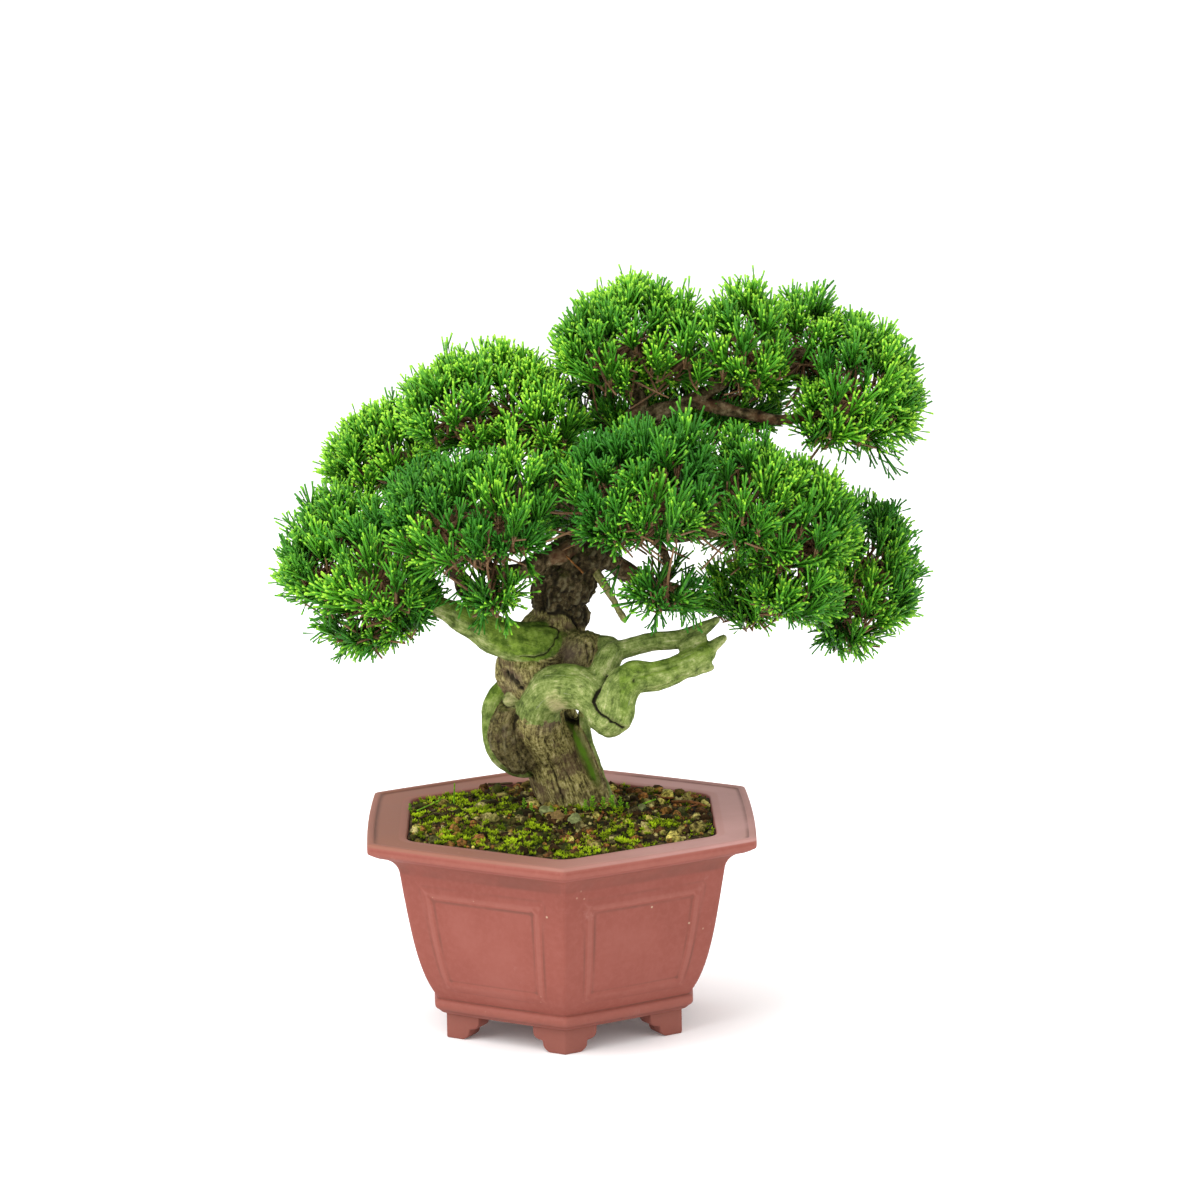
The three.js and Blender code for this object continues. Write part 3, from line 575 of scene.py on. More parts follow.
body = clay.over(body, scuffs, 0.4, (0.36, 0.18, 0.15))
hollow = clay.attribute("hollow")
# Dirt and painted shade in the grooves and hollows.
dirt_and_painted_shade = clay.times(clay.between(hollow, 0.015, 0.09), clay.between(cloud, 0.25, 0.6))
body = clay.over(body, dirt_and_painted_shade, 0.6, (0.11, 0.042, 0.028))
# Wear and a painted highlight where the clay stands out.
body = clay.over(body, clay.between(hollow, -0.02, -0.09), 0.22, (0.34, 0.13, 0.1))
texture = clay.noise(here, 1500.0, 2.0)
clay.surface(body, clay.bump(texture, 0.18, 0.12, clay.bump(fine, 0.12, 0.2)))

pot_piece = piece_of(pot_bm, "pot_body", clay.material, "clay", "pot")
mark_hollows(pot_piece.data, 0)

# %% [markdown]
# A square of plastic net keeps the soil from running out of the drain hole. The plain model's
# net has the right shape already, so it only gets a better material.

# %% The net over the drain hole
netting = Finish("dark plastic net", Base_Color=(0.02, 0.025, 0.022))
weave = netting.noise(netting.place(), 900.0, 2.0)
sheen = netting.between(weave, 0.2, 1.4)
netting.set(netting.shader, {"Roughness": sheen, "Normal": netting.bump(weave, 0.3, 0.1)})
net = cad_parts["drain_mesh"]
net.data.materials.clear()
net.data.materials.append(netting.material)
print("vertices of the net:", len(net.data.vertices))

# %% [markdown]
# ## The soil
#
# Bonsai soil is a mix of fired clay grains. Its bed is one closed skin, lofted from the middle
# out over the top, down the pot's wall and back under, with soft mounds where moss has grown.

# %% The soil bed
SOIL_EDGE = 83.4
SOIL_GAP = 0.3
SOIL_RINGS, SOIL_POINTS = 52, 190
MOUNDS = [(4, 12, 4.2, 30), (-32, -6, 3, 17.3), (-12, -36, 2.4, 16.1), (30, -22, 2.6, 14.8)]


def soil_height(x, y):
    """The height of the bed: mounds given by place, height and spread, and a fine unevenness."""
    total = SOIL_EDGE + 0.5 * math.sin(x * 0.31 + 1) * math.cos(y * 0.27)
    total += 0.35 * math.sin(x * 0.7 - y * 0.55)
    for mx, my, rise, spread in MOUNDS:
        total += rise * math.exp(-((x - mx) ** 2 + (y - my) ** 2) / spread**2)
    return total + 0.7 * noise.fractal(Vector((x, y, 0)) * 0.12, 0.9, 2.0, 4)


def soil_ring(share):
    """A ring of the soil's top, at a share of the way from the middle to the wall."""

    def point(angle):
        reach = share * (outline_reach(angle, OPENING, OPENING_CORNER, 0) - SOIL_GAP)
        x, y = reach * math.cos(angle), reach * math.sin(angle)
        return Vector((x, y, soil_height(x, y)))

    return point


soil_rings = [soil_ring(0.01 + 0.99 * k / SOIL_RINGS) for k in range(SOIL_RINGS + 1)]
wall_down = [(OPENING, 81), (56.5, 66), (54, 48), (50, 28), (43, FLOOR_TOP + 1.8)]
soil_rings += [ring_at(a - SOIL_GAP, z, 10, 0) for a, z in wall_down]
soil_rings += [ring_at(4, FLOOR_TOP + 1.8, 4, 0)]
soil_bm = loft([2 * math.pi * k / SOIL_POINTS for k in range(SOIL_POINTS)], soil_rings)

damp = Finish("damp soil", Roughness=0.95, Specular_IOR_Level=0.1)
here = damp.place()
clods = damp.noise(here, 260.0, 6.0, 0.7)
ground = damp.ramp(
    clods, (0.4, (0.004, 0.003, 0.002)), (0.52, (0.03, 0.018, 0.007)), (0.64, (0.15, 0.095, 0.035))
)
mossy = damp.between(damp.noise(here, 45.0, 3.0), 0.42, 0.6)
ground = damp.over(ground, mossy, 0.4, (0.04, 0.065, 0.008))
damp.surface(ground, damp.bump(clods, 0.8, 0.9))
piece_of(soil_bm, "soil_bed", damp.material, "soil", "soil")

# %% [markdown]
# Repeated things start as a handful of templates. A copy of a template is turned, sized and
# added to one shape, and a number per copy goes into an attribute, so that one material can
# give every grain, moss leaf or shoot a shade of its own.


# %% Copies of a template
def gather(copies, **shades):
    """One shape from (template, matrix) pairs, and each copy's own numbers for its vertices."""
    bm = bmesh.new()
    counts = []
    for template, matrix in copies:
        copy = template.copy()
        copy.transform(matrix)
        bm.from_mesh(copy)
        counts.append(len(copy.vertices))
        bpy.data.meshes.remove(copy)
    return bm, {name: np.repeat(values, counts) for name, values in shades.items()}


def scattered_piece(name, copies, shade, material):
    """The copies as one piece that lies on the soil, with attribute shade."""
    bm, columns = gather(copies, shade=shade)
    piece = piece_of(bm, name, material, "soil")
    store(piece.data, "shade", columns["shade"])


def template_of(bm, name):
    bmesh.ops.recalc_face_normals(bm, faces=bm.faces)
    mesh = bpy.data.meshes.new(name)
    bm.to_mesh(mesh)
    bm.free()
    return mesh


def rotated(angle, axis):
    return Matrix.Rotation(angle, 4, axis)


def on_soil(x, y, lift=0.0):
    """The matrix that sets a thing down on the soil's top."""
    return Matrix.Translation((x, y, soil_height(x, y) + lift))


# %% [markdown]
# A grain is a ball of a few faces, pushed in and out by noise and pressed a little flat. Grains
# are scattered over the bed, large and small, and fewer where moss covers them.


# %% Templates of a grain
def grain_template(seed, detail):
    bm = bmesh.new()
    bmesh.ops.create_icosphere(bm, subdivisions=detail, radius=1)
    for vertex in bm.verts:
        vertex.co *= 1 + 0.6 * noise.noise(vertex.co * 1.5 + Vector((seed * 5, 0, 0)))
    bmesh.ops.scale(bm, vec=(1, 0.84, 0.72), verts=bm.verts)
    return template_of(bm, "grain")


small_grains = [grain_template(k, 1) for k in range(5)]
large_grains = [grain_template(k + 9, 2) for k in range(6)]
print("faces of a grain:", len(small_grains[0].polygons), "or", len(large_grains[0].polygons))


# %% Where grains and moss lie
def open_ground(draw, inset=2.5):
    """A random place on the soil, clear of the pot's wall, the trunk and its root ridge."""
    while True:
        angle = draw.uniform(0, 2 * math.pi)
        share = math.sqrt(draw.random())
        reach = share * (outline_reach(angle, OPENING, OPENING_CORNER, 0) - inset)
        x, y = reach * math.cos(angle), reach * math.sin(angle)
        if math.hypot(x - 10, y - 16.5) > 13 and math.hypot(x - 22, y - 10.5) > 4.5:
            return x, y


# Moss is thickest on the left, at the front and right of the middle: place and radius.
MOSS_PATCHES = [
    (-45, 30, 20), (-52, 0, 16), (-32, 2, 16), (-40, -30, 18), (-16, -48, 16),
    (-12, -24, 10), (24, -38, 14), (40, -20, 13), (10, -62, 13), (6, 1, 9), (24, -4, 7),
]


def moss_share(x, y):
    """How much moss covers a place."""
    cover = max(math.exp(-((x - px) ** 2 + (y - py) ** 2) / r**2) for px, py, r in MOSS_PATCHES)
    return cover * (0.75 + 0.5 * noise.noise(Vector((x, y, 3)) * 0.16))


# %% Grains and pebbles
GRAIN_PLACES = 1500
LARGE_RADII, SMALL_RADII = (1.7, 2.9), (0.6, 1.4)
# The pebbles that the photograph shows one by one: place, radius and shade.
PEBBLES = [
    (-16.7, -14.4, 2.6, 0.8), (29.7, -4.1, 2.9, 0.83), (43.8, -41.9, 2.7, 0.97), (55, -25, 3.2, 0.72),
    (-31.8, 51, 2.6, 0.55), (-26, 47, 3.2, 0.7), (-14, 50, 2.8, 0.68), (48, -30, 2.4, 0.7), (-24, 31, 3, 0.72),
    (-17, 36, 2.7, 0.6), (36, 12, 2.7, 0.75), (30, 8, 2.2, 0.62), (-40, -44, 2.2, 0.5),
]
draw = random.Random(11)
grains, shade = [], []


def add_grain(x, y, radius, sunk, templates):
    """One more grain, turned at random; sunk is its middle's height over the soil, in radii."""
    template = draw.choice(templates)
    turn = rotated(draw.uniform(0, 2 * math.pi), "Z") @ rotated(draw.uniform(0, math.pi), "X")
    grains.append((template, on_soil(x, y, sunk * radius) @ turn @ Matrix.Scale(radius, 4)))


for k in range(GRAIN_PLACES):
    x, y = open_ground(draw)
    large = k % 5 == 0
    if moss_share(x, y) > draw.uniform(0.35, 0.9):
        continue
    radius = draw.uniform(*(LARGE_RADII if large else SMALL_RADII))
    add_grain(x, y, radius, 0.12, large_grains if large else small_grains)
    shade.append(draw.random())
for x, y, radius, tone in PEBBLES:
    add_grain(x, y, radius, 0.45, large_grains)
    shade.append(tone)
print("grains and pebbles:", len(grains))

# %% Fired clay grains
fired = Finish("fired clay grains", Roughness=0.9, Specular_IOR_Level=0.06)
here = fired.place()
tint = fired.ramp(
    fired.attribute("shade"),
    (0.0, (0.02, 0.012, 0.006)), (0.2, (0.07, 0.035, 0.014)), (0.42, (0.19, 0.085, 0.03)),
    (0.58, (0.46, 0.19, 0.045)), (0.7, (0.32, 0.26, 0.06)), (0.86, (0.58, 0.5, 0.2)), (1.0, (0.75, 0.64, 0.13)),
)
pits = fired.noise(here, 700.0, 4.0)
tint = fired.over(tint, fired.between(pits, 0.62, 0.36), 0.85, (0.01, 0.007, 0.003))
shaded = fired.between(fired.noise(here, 75.0, 3.0), 0.54, 0.46)
tint = fired.over(tint, shaded, 0.85, (0.012, 0.008, 0.003))
green_film = fired.between(fired.noise(here, 120.0, 2.0), 0.5, 0.66)
tint = fired.over(tint, green_film, 0.35, (0.06, 0.1, 0.01))
fired.surface(tint, fired.bump(pits, 0.6, 0.4))
scattered_piece("soil_grains", grains, shade, fired.material)

# %% [markdown]
# ## Moss
#
# Moss is a turf of tiny pointed leaves. A tuft is a few three-sided spikes that lean apart; over
# two thousand tufts follow a rule that says how much moss grows at a place.


# %% Moss tufts
GOLDEN_TURN = 2.4
MOSS_TUFTS = 2300
MOSS_TALLEST = 1.7


def moss_template(seed):
    draw = random.Random(seed)
    bm = bmesh.new()
    tall = bm.verts.layers.float.new("tall")
    for k in range(8):
        length = draw.uniform(0.8, MOSS_TALLEST)
        lean = rotated(k * GOLDEN_TURN, "Z") @ rotated(draw.uniform(0.1, 1.0), "X")
        seat = lean @ Matrix.Translation((0, 0, length / 2))
        made = bmesh.ops.create_cone(
            bm, cap_ends=False, segments=3, radius1=0.26, radius2=0.02, depth=length, matrix=seat
        )["verts"]
        for vertex in made:
            vertex[tall] = (lean.inverted() @ vertex.co).z / MOSS_TALLEST
    return template_of(bm, "moss tuft")


moss_templates = [moss_template(40 + k) for k in range(6)]
tufts, shade = [], []
while len(tufts) < MOSS_TUFTS:
    x, y = open_ground(draw, 1.2)
    cover = moss_share(x, y)
    clump = noise.noise(Vector((x, y, 9)) * 0.24)
    if cover + 0.9 * clump < draw.uniform(0.12, 0.95):
        continue
    size = Matrix.Scale(draw.uniform(0.75, 1.35), 4)
    turn = rotated(draw.uniform(0, 6.28), "Z") @ rotated(draw.uniform(0, 0.35), "X")
    seat = on_soil(x, y, cover * (0.7 + 1.2 * clump))
    tufts.append((draw.choice(moss_templates), seat @ turn @ size))
    shade.append(min(1, max(0, 0.2 + 0.55 * cover + 0.7 * clump + draw.uniform(-0.25, 0.25))))

# %% Moss, dark at its foot
moss = Finish("moss", Roughness=0.8, Specular_IOR_Level=0.04)
own = moss.attribute("shade")
low = moss.mix(own, (0.006, 0.009, 0.001), (0.022, 0.05, 0.003))
high = moss.mix(own, (0.13, 0.15, 0.008), (0.72, 1.0, 0.025))
turf = moss.mix(moss.between(moss.attribute("tall"), 0.05, 0.8), low, high)
bare_patch = moss.between(moss.noise(moss.place(), 110.0, 4.0), 0.56, 0.38)
turf = moss.mix(moss.times(bare_patch, 0.75), turf, low)
moss.set(moss.shader, {"Base Color": turf})
scattered_piece("moss", tufts, shade, moss.material)

# %% [markdown]
# ## Wood
#
# A limb is a circle that is extruded along a route and grows thinner. Routes are short lists of
# points with a radius, and a spline runs smoothly through them. Frames that turn as little as
# possible from point to point keep the tube from twisting.


# %% Points along a route
def spline(route, step):
    """Even points (place, radius) on a smooth curve through the route's points."""
    points = [Vector(p[:3]) for p in route]
    radii = [p[3] for p in route]
    ahead, behind = 2 * points[-1] - points[-2], 2 * points[0] - points[1]
    ringed = [behind, *points, ahead]
    line = []
    for i in range(len(points) - 1):
        a, b, c, d = ringed[i : i + 4]
        count = max(2, round((c - b).length / step))
        for k in range(count):
            t = k / count
            bend = 0.5 * (
                2 * b + (c - a) * t + (2 * a - 5 * b + 4 * c - d) * t**2 + (3 * b - a - 3 * c + d) * t**3
            )
            line.append((bend, radii[i] + (radii[i + 1] - radii[i]) * smooth_step(t, 0, 1)))
    return line + [(points[-1], radii[-1])]


def frames_along(line):
    """A frame (direction, side, other side) at each point, turned as little as possible."""
    places = [place for place, _ in line]
    last = len(places) - 1
    directions = [
        (places[min(i + 1, last)] - places[max(i - 1, 0)]).normalized() for i in range(len(places))
    ]
    side = directions[0].orthogonal().normalized()
    frames = []
    for direction in directions:
        side = (side - direction * side.dot(direction)).normalized()
        frames.append((direction, side, direction.cross(side)))
    return frames


def tube(bm, route, sides, step, rough=0.0, seed=0):
    """A closed tube along a route, its ends rounded; rough makes it uneven."""
    line = spline(route, step)
    frames = frames_along(line)
    start, end = line[0], line[-1]
    line = [(start[0] - frames[0][0] * start[1] * 0.3, start[1] * 0.6), *line]
    line += [(end[0] + frames[-1][0] * end[1] * 0.45, end[1] * 0.55)]
    frames = [frames[0], *frames, frames[-1]]

    def ring(place, radius, side, other):
        def point(angle):
            way = math.cos(angle) * side + math.sin(angle) * other
            swell = rough * noise.noise(place * 0.11 + way + Vector((seed, 0, 0)))
            return place + radius * (1 + swell) * way

        return point

    rings = [ring(place, radius, side, other) for (place, radius), (_, side, other) in zip(line, frames)]
    first, last = extrude_rings(bm, [2 * math.pi * k / sides for k in range(sides)], rings)
    bmesh.ops.holes_fill(bm, edges=first + last)


# %% The routes of the thick wood
TRUNK = [
    (14, 17, 62, 13), (11, 16.5, 76, 15), (6, 16, 88, 14.6), (0.5, 14, 104, 14), (-5.5, 11, 120, 13.6),
    (-9, 9, 132.5, 13.6), (-7, 9, 144.5, 16.2), (-3, 9, 156, 14), (0.3, 8, 167, 10.4), (0.2, 7, 175, 10.9),
    (3.4, 6.5, 182, 12.6), (8.5, 6, 190, 11.4), (14.5, 6, 198.5, 9.8), (21, 7, 211.5, 7.6),
    (27.5, 8, 225, 6.2), (32, 8, 239, 5), (34.5, 8, 250, 4),
]
ROOT_RIDGE = [(8.5, 2, 128, 3), (9.5, -0.5, 117, 3.4), (13, 3, 104, 3.6), (17, 8, 91, 4), (20, 12, 80, 3.4)]
MOUTH = [(-6, 2, 138, 11), (-13, -1, 146, 12.6), (-10, 2, 154, 11)]
BURL = [(-15, 0, 135, 3.6), (-19.5, -3, 128, 6.4), (-21, -3, 119, 8), (-16, 3, 108, 7)]
KNOB = [(-15, -3, 132, 3), (-19.8, -7, 135.4, 3.4), (-21, -8, 136.5, 1.8)]
ARC = [
    (-5, 4, 112, 8), (-9, -6, 125, 8.6), (-6.5, -12, 135.5, 8.3), (-1.5, -17, 142, 8.6), (7.5, -21, 142.5, 8.4),
    (15, -25, 138, 7),
]
STRAND = [
    (21.5, -14, 155, 4.8), (17.5, -18, 148, 5.4), (14.5, -24, 139.5, 6), (17, -27, 132, 6.6),
    (21, -28, 129.5, 5.6),
]
FRONT_PRONG = [
    (16.4, -28, 129.2, 6.2), (21, -29, 132.8, 8), (23.4, -27, 141, 8), (29, -25, 146.8, 6.8),
    (38.5, -23, 147.4, 5.8), (49, -20, 150.4, 5.3), (58, -17, 154.5, 4.6), (61, -16, 156, 3.2),
]
BACK_PRONG = [
    (17.5, -17, 148, 5.2), (20.5, -14, 154.5, 4.8), (27, -12, 156.5, 3.8), (37.5, -11, 159, 3.5),
    (50, -12, 160, 3.8), (58, -12, 164, 3), (64.5, -12, 168, 1.2),
]
BRIDGE = [(8, 4, 155.5, 4.4), (18.5, -5, 157, 3.4), (25, -12, 155.5, 3.2)]
LUMP = [(6.5, 3, 147, 8.4), (8.5, -1, 153, 8.8), (10.5, -2.5, 158, 6.8)]
WEB = [(49, -16, 156.8, 2.4), (54, -15.5, 159.3, 2.8), (58, -15, 161.2, 2.2)]
STUB = [(13, 2, 190, 2), (18.3, -4, 181.5, 1.35), (22.5, -5, 174, 1.15), (27, -6, 166.3, 1.2)]
LOOP = [
    (-11, 7, 137, 3.6), (-21.5, 1, 139, 3.5), (-27.6, -1, 131.5, 3.4), (-28.2, -1, 120.5, 3.4),
    (-25, 1, 110, 3.6), (-18, 6, 104, 3.8), (-9, 12, 102, 4),
]
FIRST_BRANCH = [
    (0, 5, 156, 10), (-10.5, -4, 156.5, 9.4), (-23.5, -7, 161.5, 7.8), (-35.5, -6, 167, 6),
    (-47.5, -5, 173, 4.6), (-58, -4, 177.5, 3.7), (-71, -4, 183, 2.8), (-86, -3, 190, 1.6),
]
SPLINTERS = [
    [(52, -19, 149.5, 4), (58.5, -17.5, 149.5, 2.4), (61.6, -17, 149.2, 1.1)],
    [(55, -18, 154, 3.6), (61.5, -16.5, 157.5, 2.4), (66.6, -15, 161, 1.3)],
    [(58, -16.5, 152, 2.4), (61.5, -16, 153.4, 1.2)],
]

# Each limb with how bare it is: 0 is bark, 1 is smooth deadwood.
LIMBS = {
    "trunk": (TRUNK, 0.0), "root ridge": (ROOT_RIDGE, 0.5), "mouth": (MOUTH, 0.0), "burl": (BURL, 0.0),
    "knob": (KNOB, 0.7), "arc": (ARC, 1.0), "strand": (STRAND, 1.0), "front prong": (FRONT_PRONG, 1.0),
    "back prong": (BACK_PRONG, 1.0), "bridge": (BRIDGE, 0.9), "loop": (LOOP, 0.9),
    "first branch": (FIRST_BRANCH, 0.75), "lump": (LUMP, 0.0), "web": (WEB, 1.0), "stub": (STUB, 0.42),
    **{f"splinter {k}": (route, 1.0) for k, route in enumerate(SPLINTERS)},
}
VOXEL = 0.72
LIMB_SIDES, LIMB_STEP, LIMB_ROUGHNESS = 28, 2.5, 0.12

trunk_bm = bmesh.new()
for seed, (route, _) in enumerate(LIMBS.values()):
    tube(trunk_bm, route, LIMB_SIDES, LIMB_STEP, LIMB_ROUGHNESS, seed)
bmesh.ops.recalc_face_normals(trunk_bm, faces=trunk_bm.faces)
print("vertices of the joined tubes:", len(trunk_bm.verts))

# %% [markdown]
# The tubes cross each other. A voxel remesh melts them into one skin of even small faces, as
# living wood grows over its own joints, and a little smoothing rounds the seams.


# %% One skin over all the tubes
def melted(bm, size):
    """A new shape: one even skin round everything in the old one."""
    mesh = bpy.data.meshes.new("tubes")
    bm.to_mesh(mesh)
    bm.free()
    holder = bpy.data.objects.new("tubes", mesh)
    bpy.context.scene.collection.objects.link(holder)
    remesh = holder.modifiers.new("skin", "REMESH")
    remesh.mode = "VOXEL"
    remesh.voxel_size = size
    whole = holder.evaluated_get(bpy.context.evaluated_depsgraph_get()).to_mesh()
    result = bmesh.new()
    result.from_mesh(whole)
    holder.to_mesh_clear()
    bpy.data.objects.remove(holder)
    bpy.data.meshes.remove(mesh)
    return result


def smooth(bm, factor):
    bmesh.ops.smooth_vert(
        bm, verts=bm.verts, factor=factor, use_axis_x=True, use_axis_y=True, use_axis_z=True
    )


wood_bm = melted(trunk_bm, VOXEL)
for _ in range(5):
    smooth(wood_bm, 0.5)
print("vertices of the skin:", len(wood_bm.verts))

# %% [markdown]
# Bark and fibres run along a limb. To carve them, every point of the skin looks up the nearest
# point on a route: how far along it lies, and where round it. Noise that is read in those
# coordinates, stretched along the limb, gives flutes and fibres that follow each bend.

# %% Where each point lies on its limb
ROUTE_STEP = 1.6
BATCH = 4000

rows = []
for number, (route, bare) in enumerate(LIMBS.values()):
    line = spline(route, ROUTE_STEP)
    travelled = 0.0
    for k, ((place, radius), (direction, side, other)) in enumerate(zip(line, frames_along(line))):
        travelled += (place - line[k - 1][0]).length if k else 0.0
        rows.append([*place, radius, *direction, *side, *other, travelled, number, bare])
rows = np.array(rows)
AT, RADIUS, ALONG, SIDE, OTHER = slice(0, 3), 3, slice(4, 7), slice(7, 10), slice(10, 13)
TRAVELLED, NUMBER, BARE = 13, 14, 15


def on_limbs(places):
    """Each place's nearest row, its coordinates along the grain and its lead over other limbs."""
    nearest = np.empty(len(places), int)
    lead = np.empty(len(places))
    for start in range(0, len(places), BATCH):
        part = slice(start, start + BATCH)
        away = np.linalg.norm(places[part, None] - rows[None, :, AT], axis=2) - rows[:, RADIUS]
        nearest[part] = away.argmin(1)
        least = away.min(1)
        same = rows[:, NUMBER] == rows[nearest[part], NUMBER][:, None]
        lead[part] = np.where(same, np.inf, away).min(1) - least
    row = rows[nearest]
    off = places - row[:, AT]
    way = row[:, TRAVELLED] + (off * row[:, ALONG]).sum(1)
    grain = np.stack([way, (off * row[:, SIDE]).sum(1), (off * row[:, OTHER]).sum(1)], 1)
    return row, grain, lead


places = np.array([vertex.co for vertex in wood_bm.verts])
row, grain, lead = on_limbs(places)
settled = np.clip(lead / 3, 0, 1)
print("points on each limb:", np.bincount(row[:, NUMBER].astype(int)).tolist())

# %% [markdown]
# The photograph shows a few marks that make this tree this tree: the long crack over the
# knuckle of the deadwood, small hollows under the arc and beside the burl, furrows down the
# trunk. Each is a short list of points that the skin is pressed in along.

# %% Cracks, furrows and hollows
# A furrow is a width, a depth and its points; a hollow is a place, a radius and a depth.
FURROWS = [
    (0.9, 2.1, [
        (25, -32, 155), (24.1, -32, 153.9), (19.2, -33, 150.1), (15.9, -34, 145.1), (13.2, -34, 139.1),
        (15, -35, 135.2), (18.6, -36, 132.7), (23, -36, 130), (25.5, -36, 128.2),
    ]),
    (0.9, 1.5, [
        (-15.6, -10, 153.2), (-11.8, -10, 152.8), (-6.3, -10, 153.5), (-2, -10, 157.4), (-0.6, -10, 160.2),
        (0.9, -10, 163.9), (-1.9, -10, 165.8), (-6.1, -10, 166.2),
    ]),
    (1.0, 2.0, [(-4, -4, 169.6), (1.8, -4, 169.3), (5.6, -4, 167.7), (7.6, -5, 165.7), (10, -5, 162.5)]),
    (0.8, 1.0, [(11.3, -8, 157.3), (12.3, -8, 153.2), (12.2, -8, 149.5)]),
    (0.8, 1.3, [(-18, -8, 129.3), (-17.8, -8, 118.6), (-14.7, -6, 107.7), (-9.2, -3, 97.7)]),
    (0.9, 1.3, [(5.5, -6, 127), (10.6, -3, 118.2), (13.5, 0, 110.5), (16.2, 2, 103.2), (19.4, 5, 91.9)]),
    (0.8, 1.0, [(-6, -3, 118), (-4.5, -1.5, 108), (-1.5, 0, 98), (1, 1, 90)]),
    (0.7, 0.9, [(-2, -17.5, 124), (-0.5, -4, 112), (3, 0, 102), (7.5, 2, 92)]),
    (0.5, 0.5, [(-1.3, -26, 148.1), (6.3, -26, 149.2), (12.3, -26, 148.3)]),
    (0.6, 0.5, [(-3, -24, 138.3), (0.2, -24, 142.4), (5.4, -24, 143.5)]),
    (0.8, 0.8, [(30, -32, 148.5), (38, -29.5, 150.5), (47, -26, 152)]),
    (0.7, 0.7, [(33, -31, 142.5), (42, -28.5, 144.5), (50, -25, 147.5)]),
    (0.6, 0.8, [(-23.2, -11, 134.6), (-21, -12, 133), (-18.6, -12, 133.4)]),
    (0.5, 0.6, [(-22.6, -11, 137.2), (-20.4, -12, 138), (-18.4, -12, 136.4)]),
]
HOLLOWS = [
    (5.7, -14, 129.8, 3.4, 3), (-21.8, -10, 146.7, 1.9, 2.3), (-19.5, -11, 145.4, 1.7, 2.1),
    (-17.4, -12, 143.4, 1.8, 2.1), (-15.4, -12, 141, 1.4, 1.6), (-20.5, -10, 142.8, 1.2, 1.3),
    (-22.6, -9, 143.8, 0.8, 0.9), (-7.6, -15, 120.8, 1.2, 1.1), (-3.1, -15, 119.6, 1.3, 1.2),
    (-1, -4, 182, 2.6, 1.7), (0.6, -4, 172, 2.4, 1.5), (29.9, -32, 147, 1.1, 1.2), (-42.3, -12, 170.6, 1.6, 1),
    (20, -36, 141, 0.9, 0.8), (24, -36, 145, 0.9, 0.8), (-3.5, -8, 146, 2.6, 1.4),
]
GREEN_EYE = (-13, -12, 159)


def seen_on_skin(point):
    """The vertex of the skin on the camera's line through a point, close to that point."""
    line = np.array(point) - CAMERA_AT
    line /= np.linalg.norm(line)
    off = places - point
    along = off @ line
    return places[(np.linalg.norm(off - along[:, None] * line, axis=1) + 0.08 * abs(along)).argmin()]


def from_furrow(points, spots):
    """The distance of each spot from a line through points."""
    least = np.full(len(spots), np.inf)
    for a, b in zip(points, points[1:]):
        a, b = np.array(a), np.array(b)
        share = np.clip(((spots - a) @ (b - a)) / ((b - a) @ (b - a)), 0, 1)
        least = np.minimum(least, np.linalg.norm(spots - a - share[:, None] * (b - a), axis=1))
    return least


# Without a seed, noise_vector gives other numbers on each run.
WANDER_SEED = 1

pressed = np.zeros(len(places))
noise.seed_set(WANDER_SEED)
wander = np.array([noise.noise_vector(Vector(p) * 0.35) for p in places]) * 0.6
for width, depth, points in FURROWS:
    dense = [p for p, _ in spline([(*p, 1) for p in points], 2)]
    on_skin = [seen_on_skin(p) for p in dense]
    near = from_furrow(on_skin, places + wander)
    pressed += depth * np.exp(-((near / width) ** 2))
for *spot, radius, depth in HOLLOWS:
    near = np.linalg.norm(places + wander - seen_on_skin(spot), axis=1)
    pressed += depth * np.exp(-((near / radius) ** 2))
print("deepest mark:", round(float(pressed.max()), 2), "mm")

# %% How bare and how old each point is
x, y, height = places.T
limb_name = np.array(list(LIMBS))[row[:, NUMBER].astype(int)]
bareness = row[:, BARE].copy()
ragged = np.array([noise.fractal(Vector(p) * 0.3, 1, 2, 3) for p in places])
# The arc comes out of bark along a jagged collar.
collar = np.clip((height + 3.5 * ragged + 0.12 * x - 126) / 0.7, 0, 1)
bareness[limb_name == "arc"] *= collar[limb_name == "arc"]
# Bare wood lies to the right of a ridge down the trunk.
ridge_line = np.interp(height, [91.9, 103.2, 118.2, 127], [19.4, 16.2, 10.6, 5.5])
beside_ridge = (height < 126) & (y < 14) & np.isin(limb_name, ["trunk", "root ridge"])
bareness[beside_ridge] = 0.9 * np.clip(x - ridge_line, 0, 1)[beside_ridge]
# Round the green eye, where the first branch leaves the trunk, the bark closes over the bare wood.
from_eye = np.hypot((x + 8) / 9, (height - 159.6) / 7)
outside_eye = np.where(x > -8, np.clip((from_eye - 1) / 0.12, 0, 1), 0)
bareness[limb_name == "first branch"] *= 1 - outside_eye[limb_name == "first branch"]
# Above a line over the collar the trunk's bark is old and flaking, and so is the burl's. The same
# share also paints shade on the upper trunk, under the foliage.
collar_line = np.interp(x, [1.8, 5.6, 7.6, 10], [169.3, 167.7, 165.7, 161])
old = np.clip((height - collar_line + 0.6) / 1.6, 0, 1) * (limb_name == "trunk")
old += 0.7 * (limb_name == "burl")
print("share of bare wood:", round(float(bareness.mean()), 2))


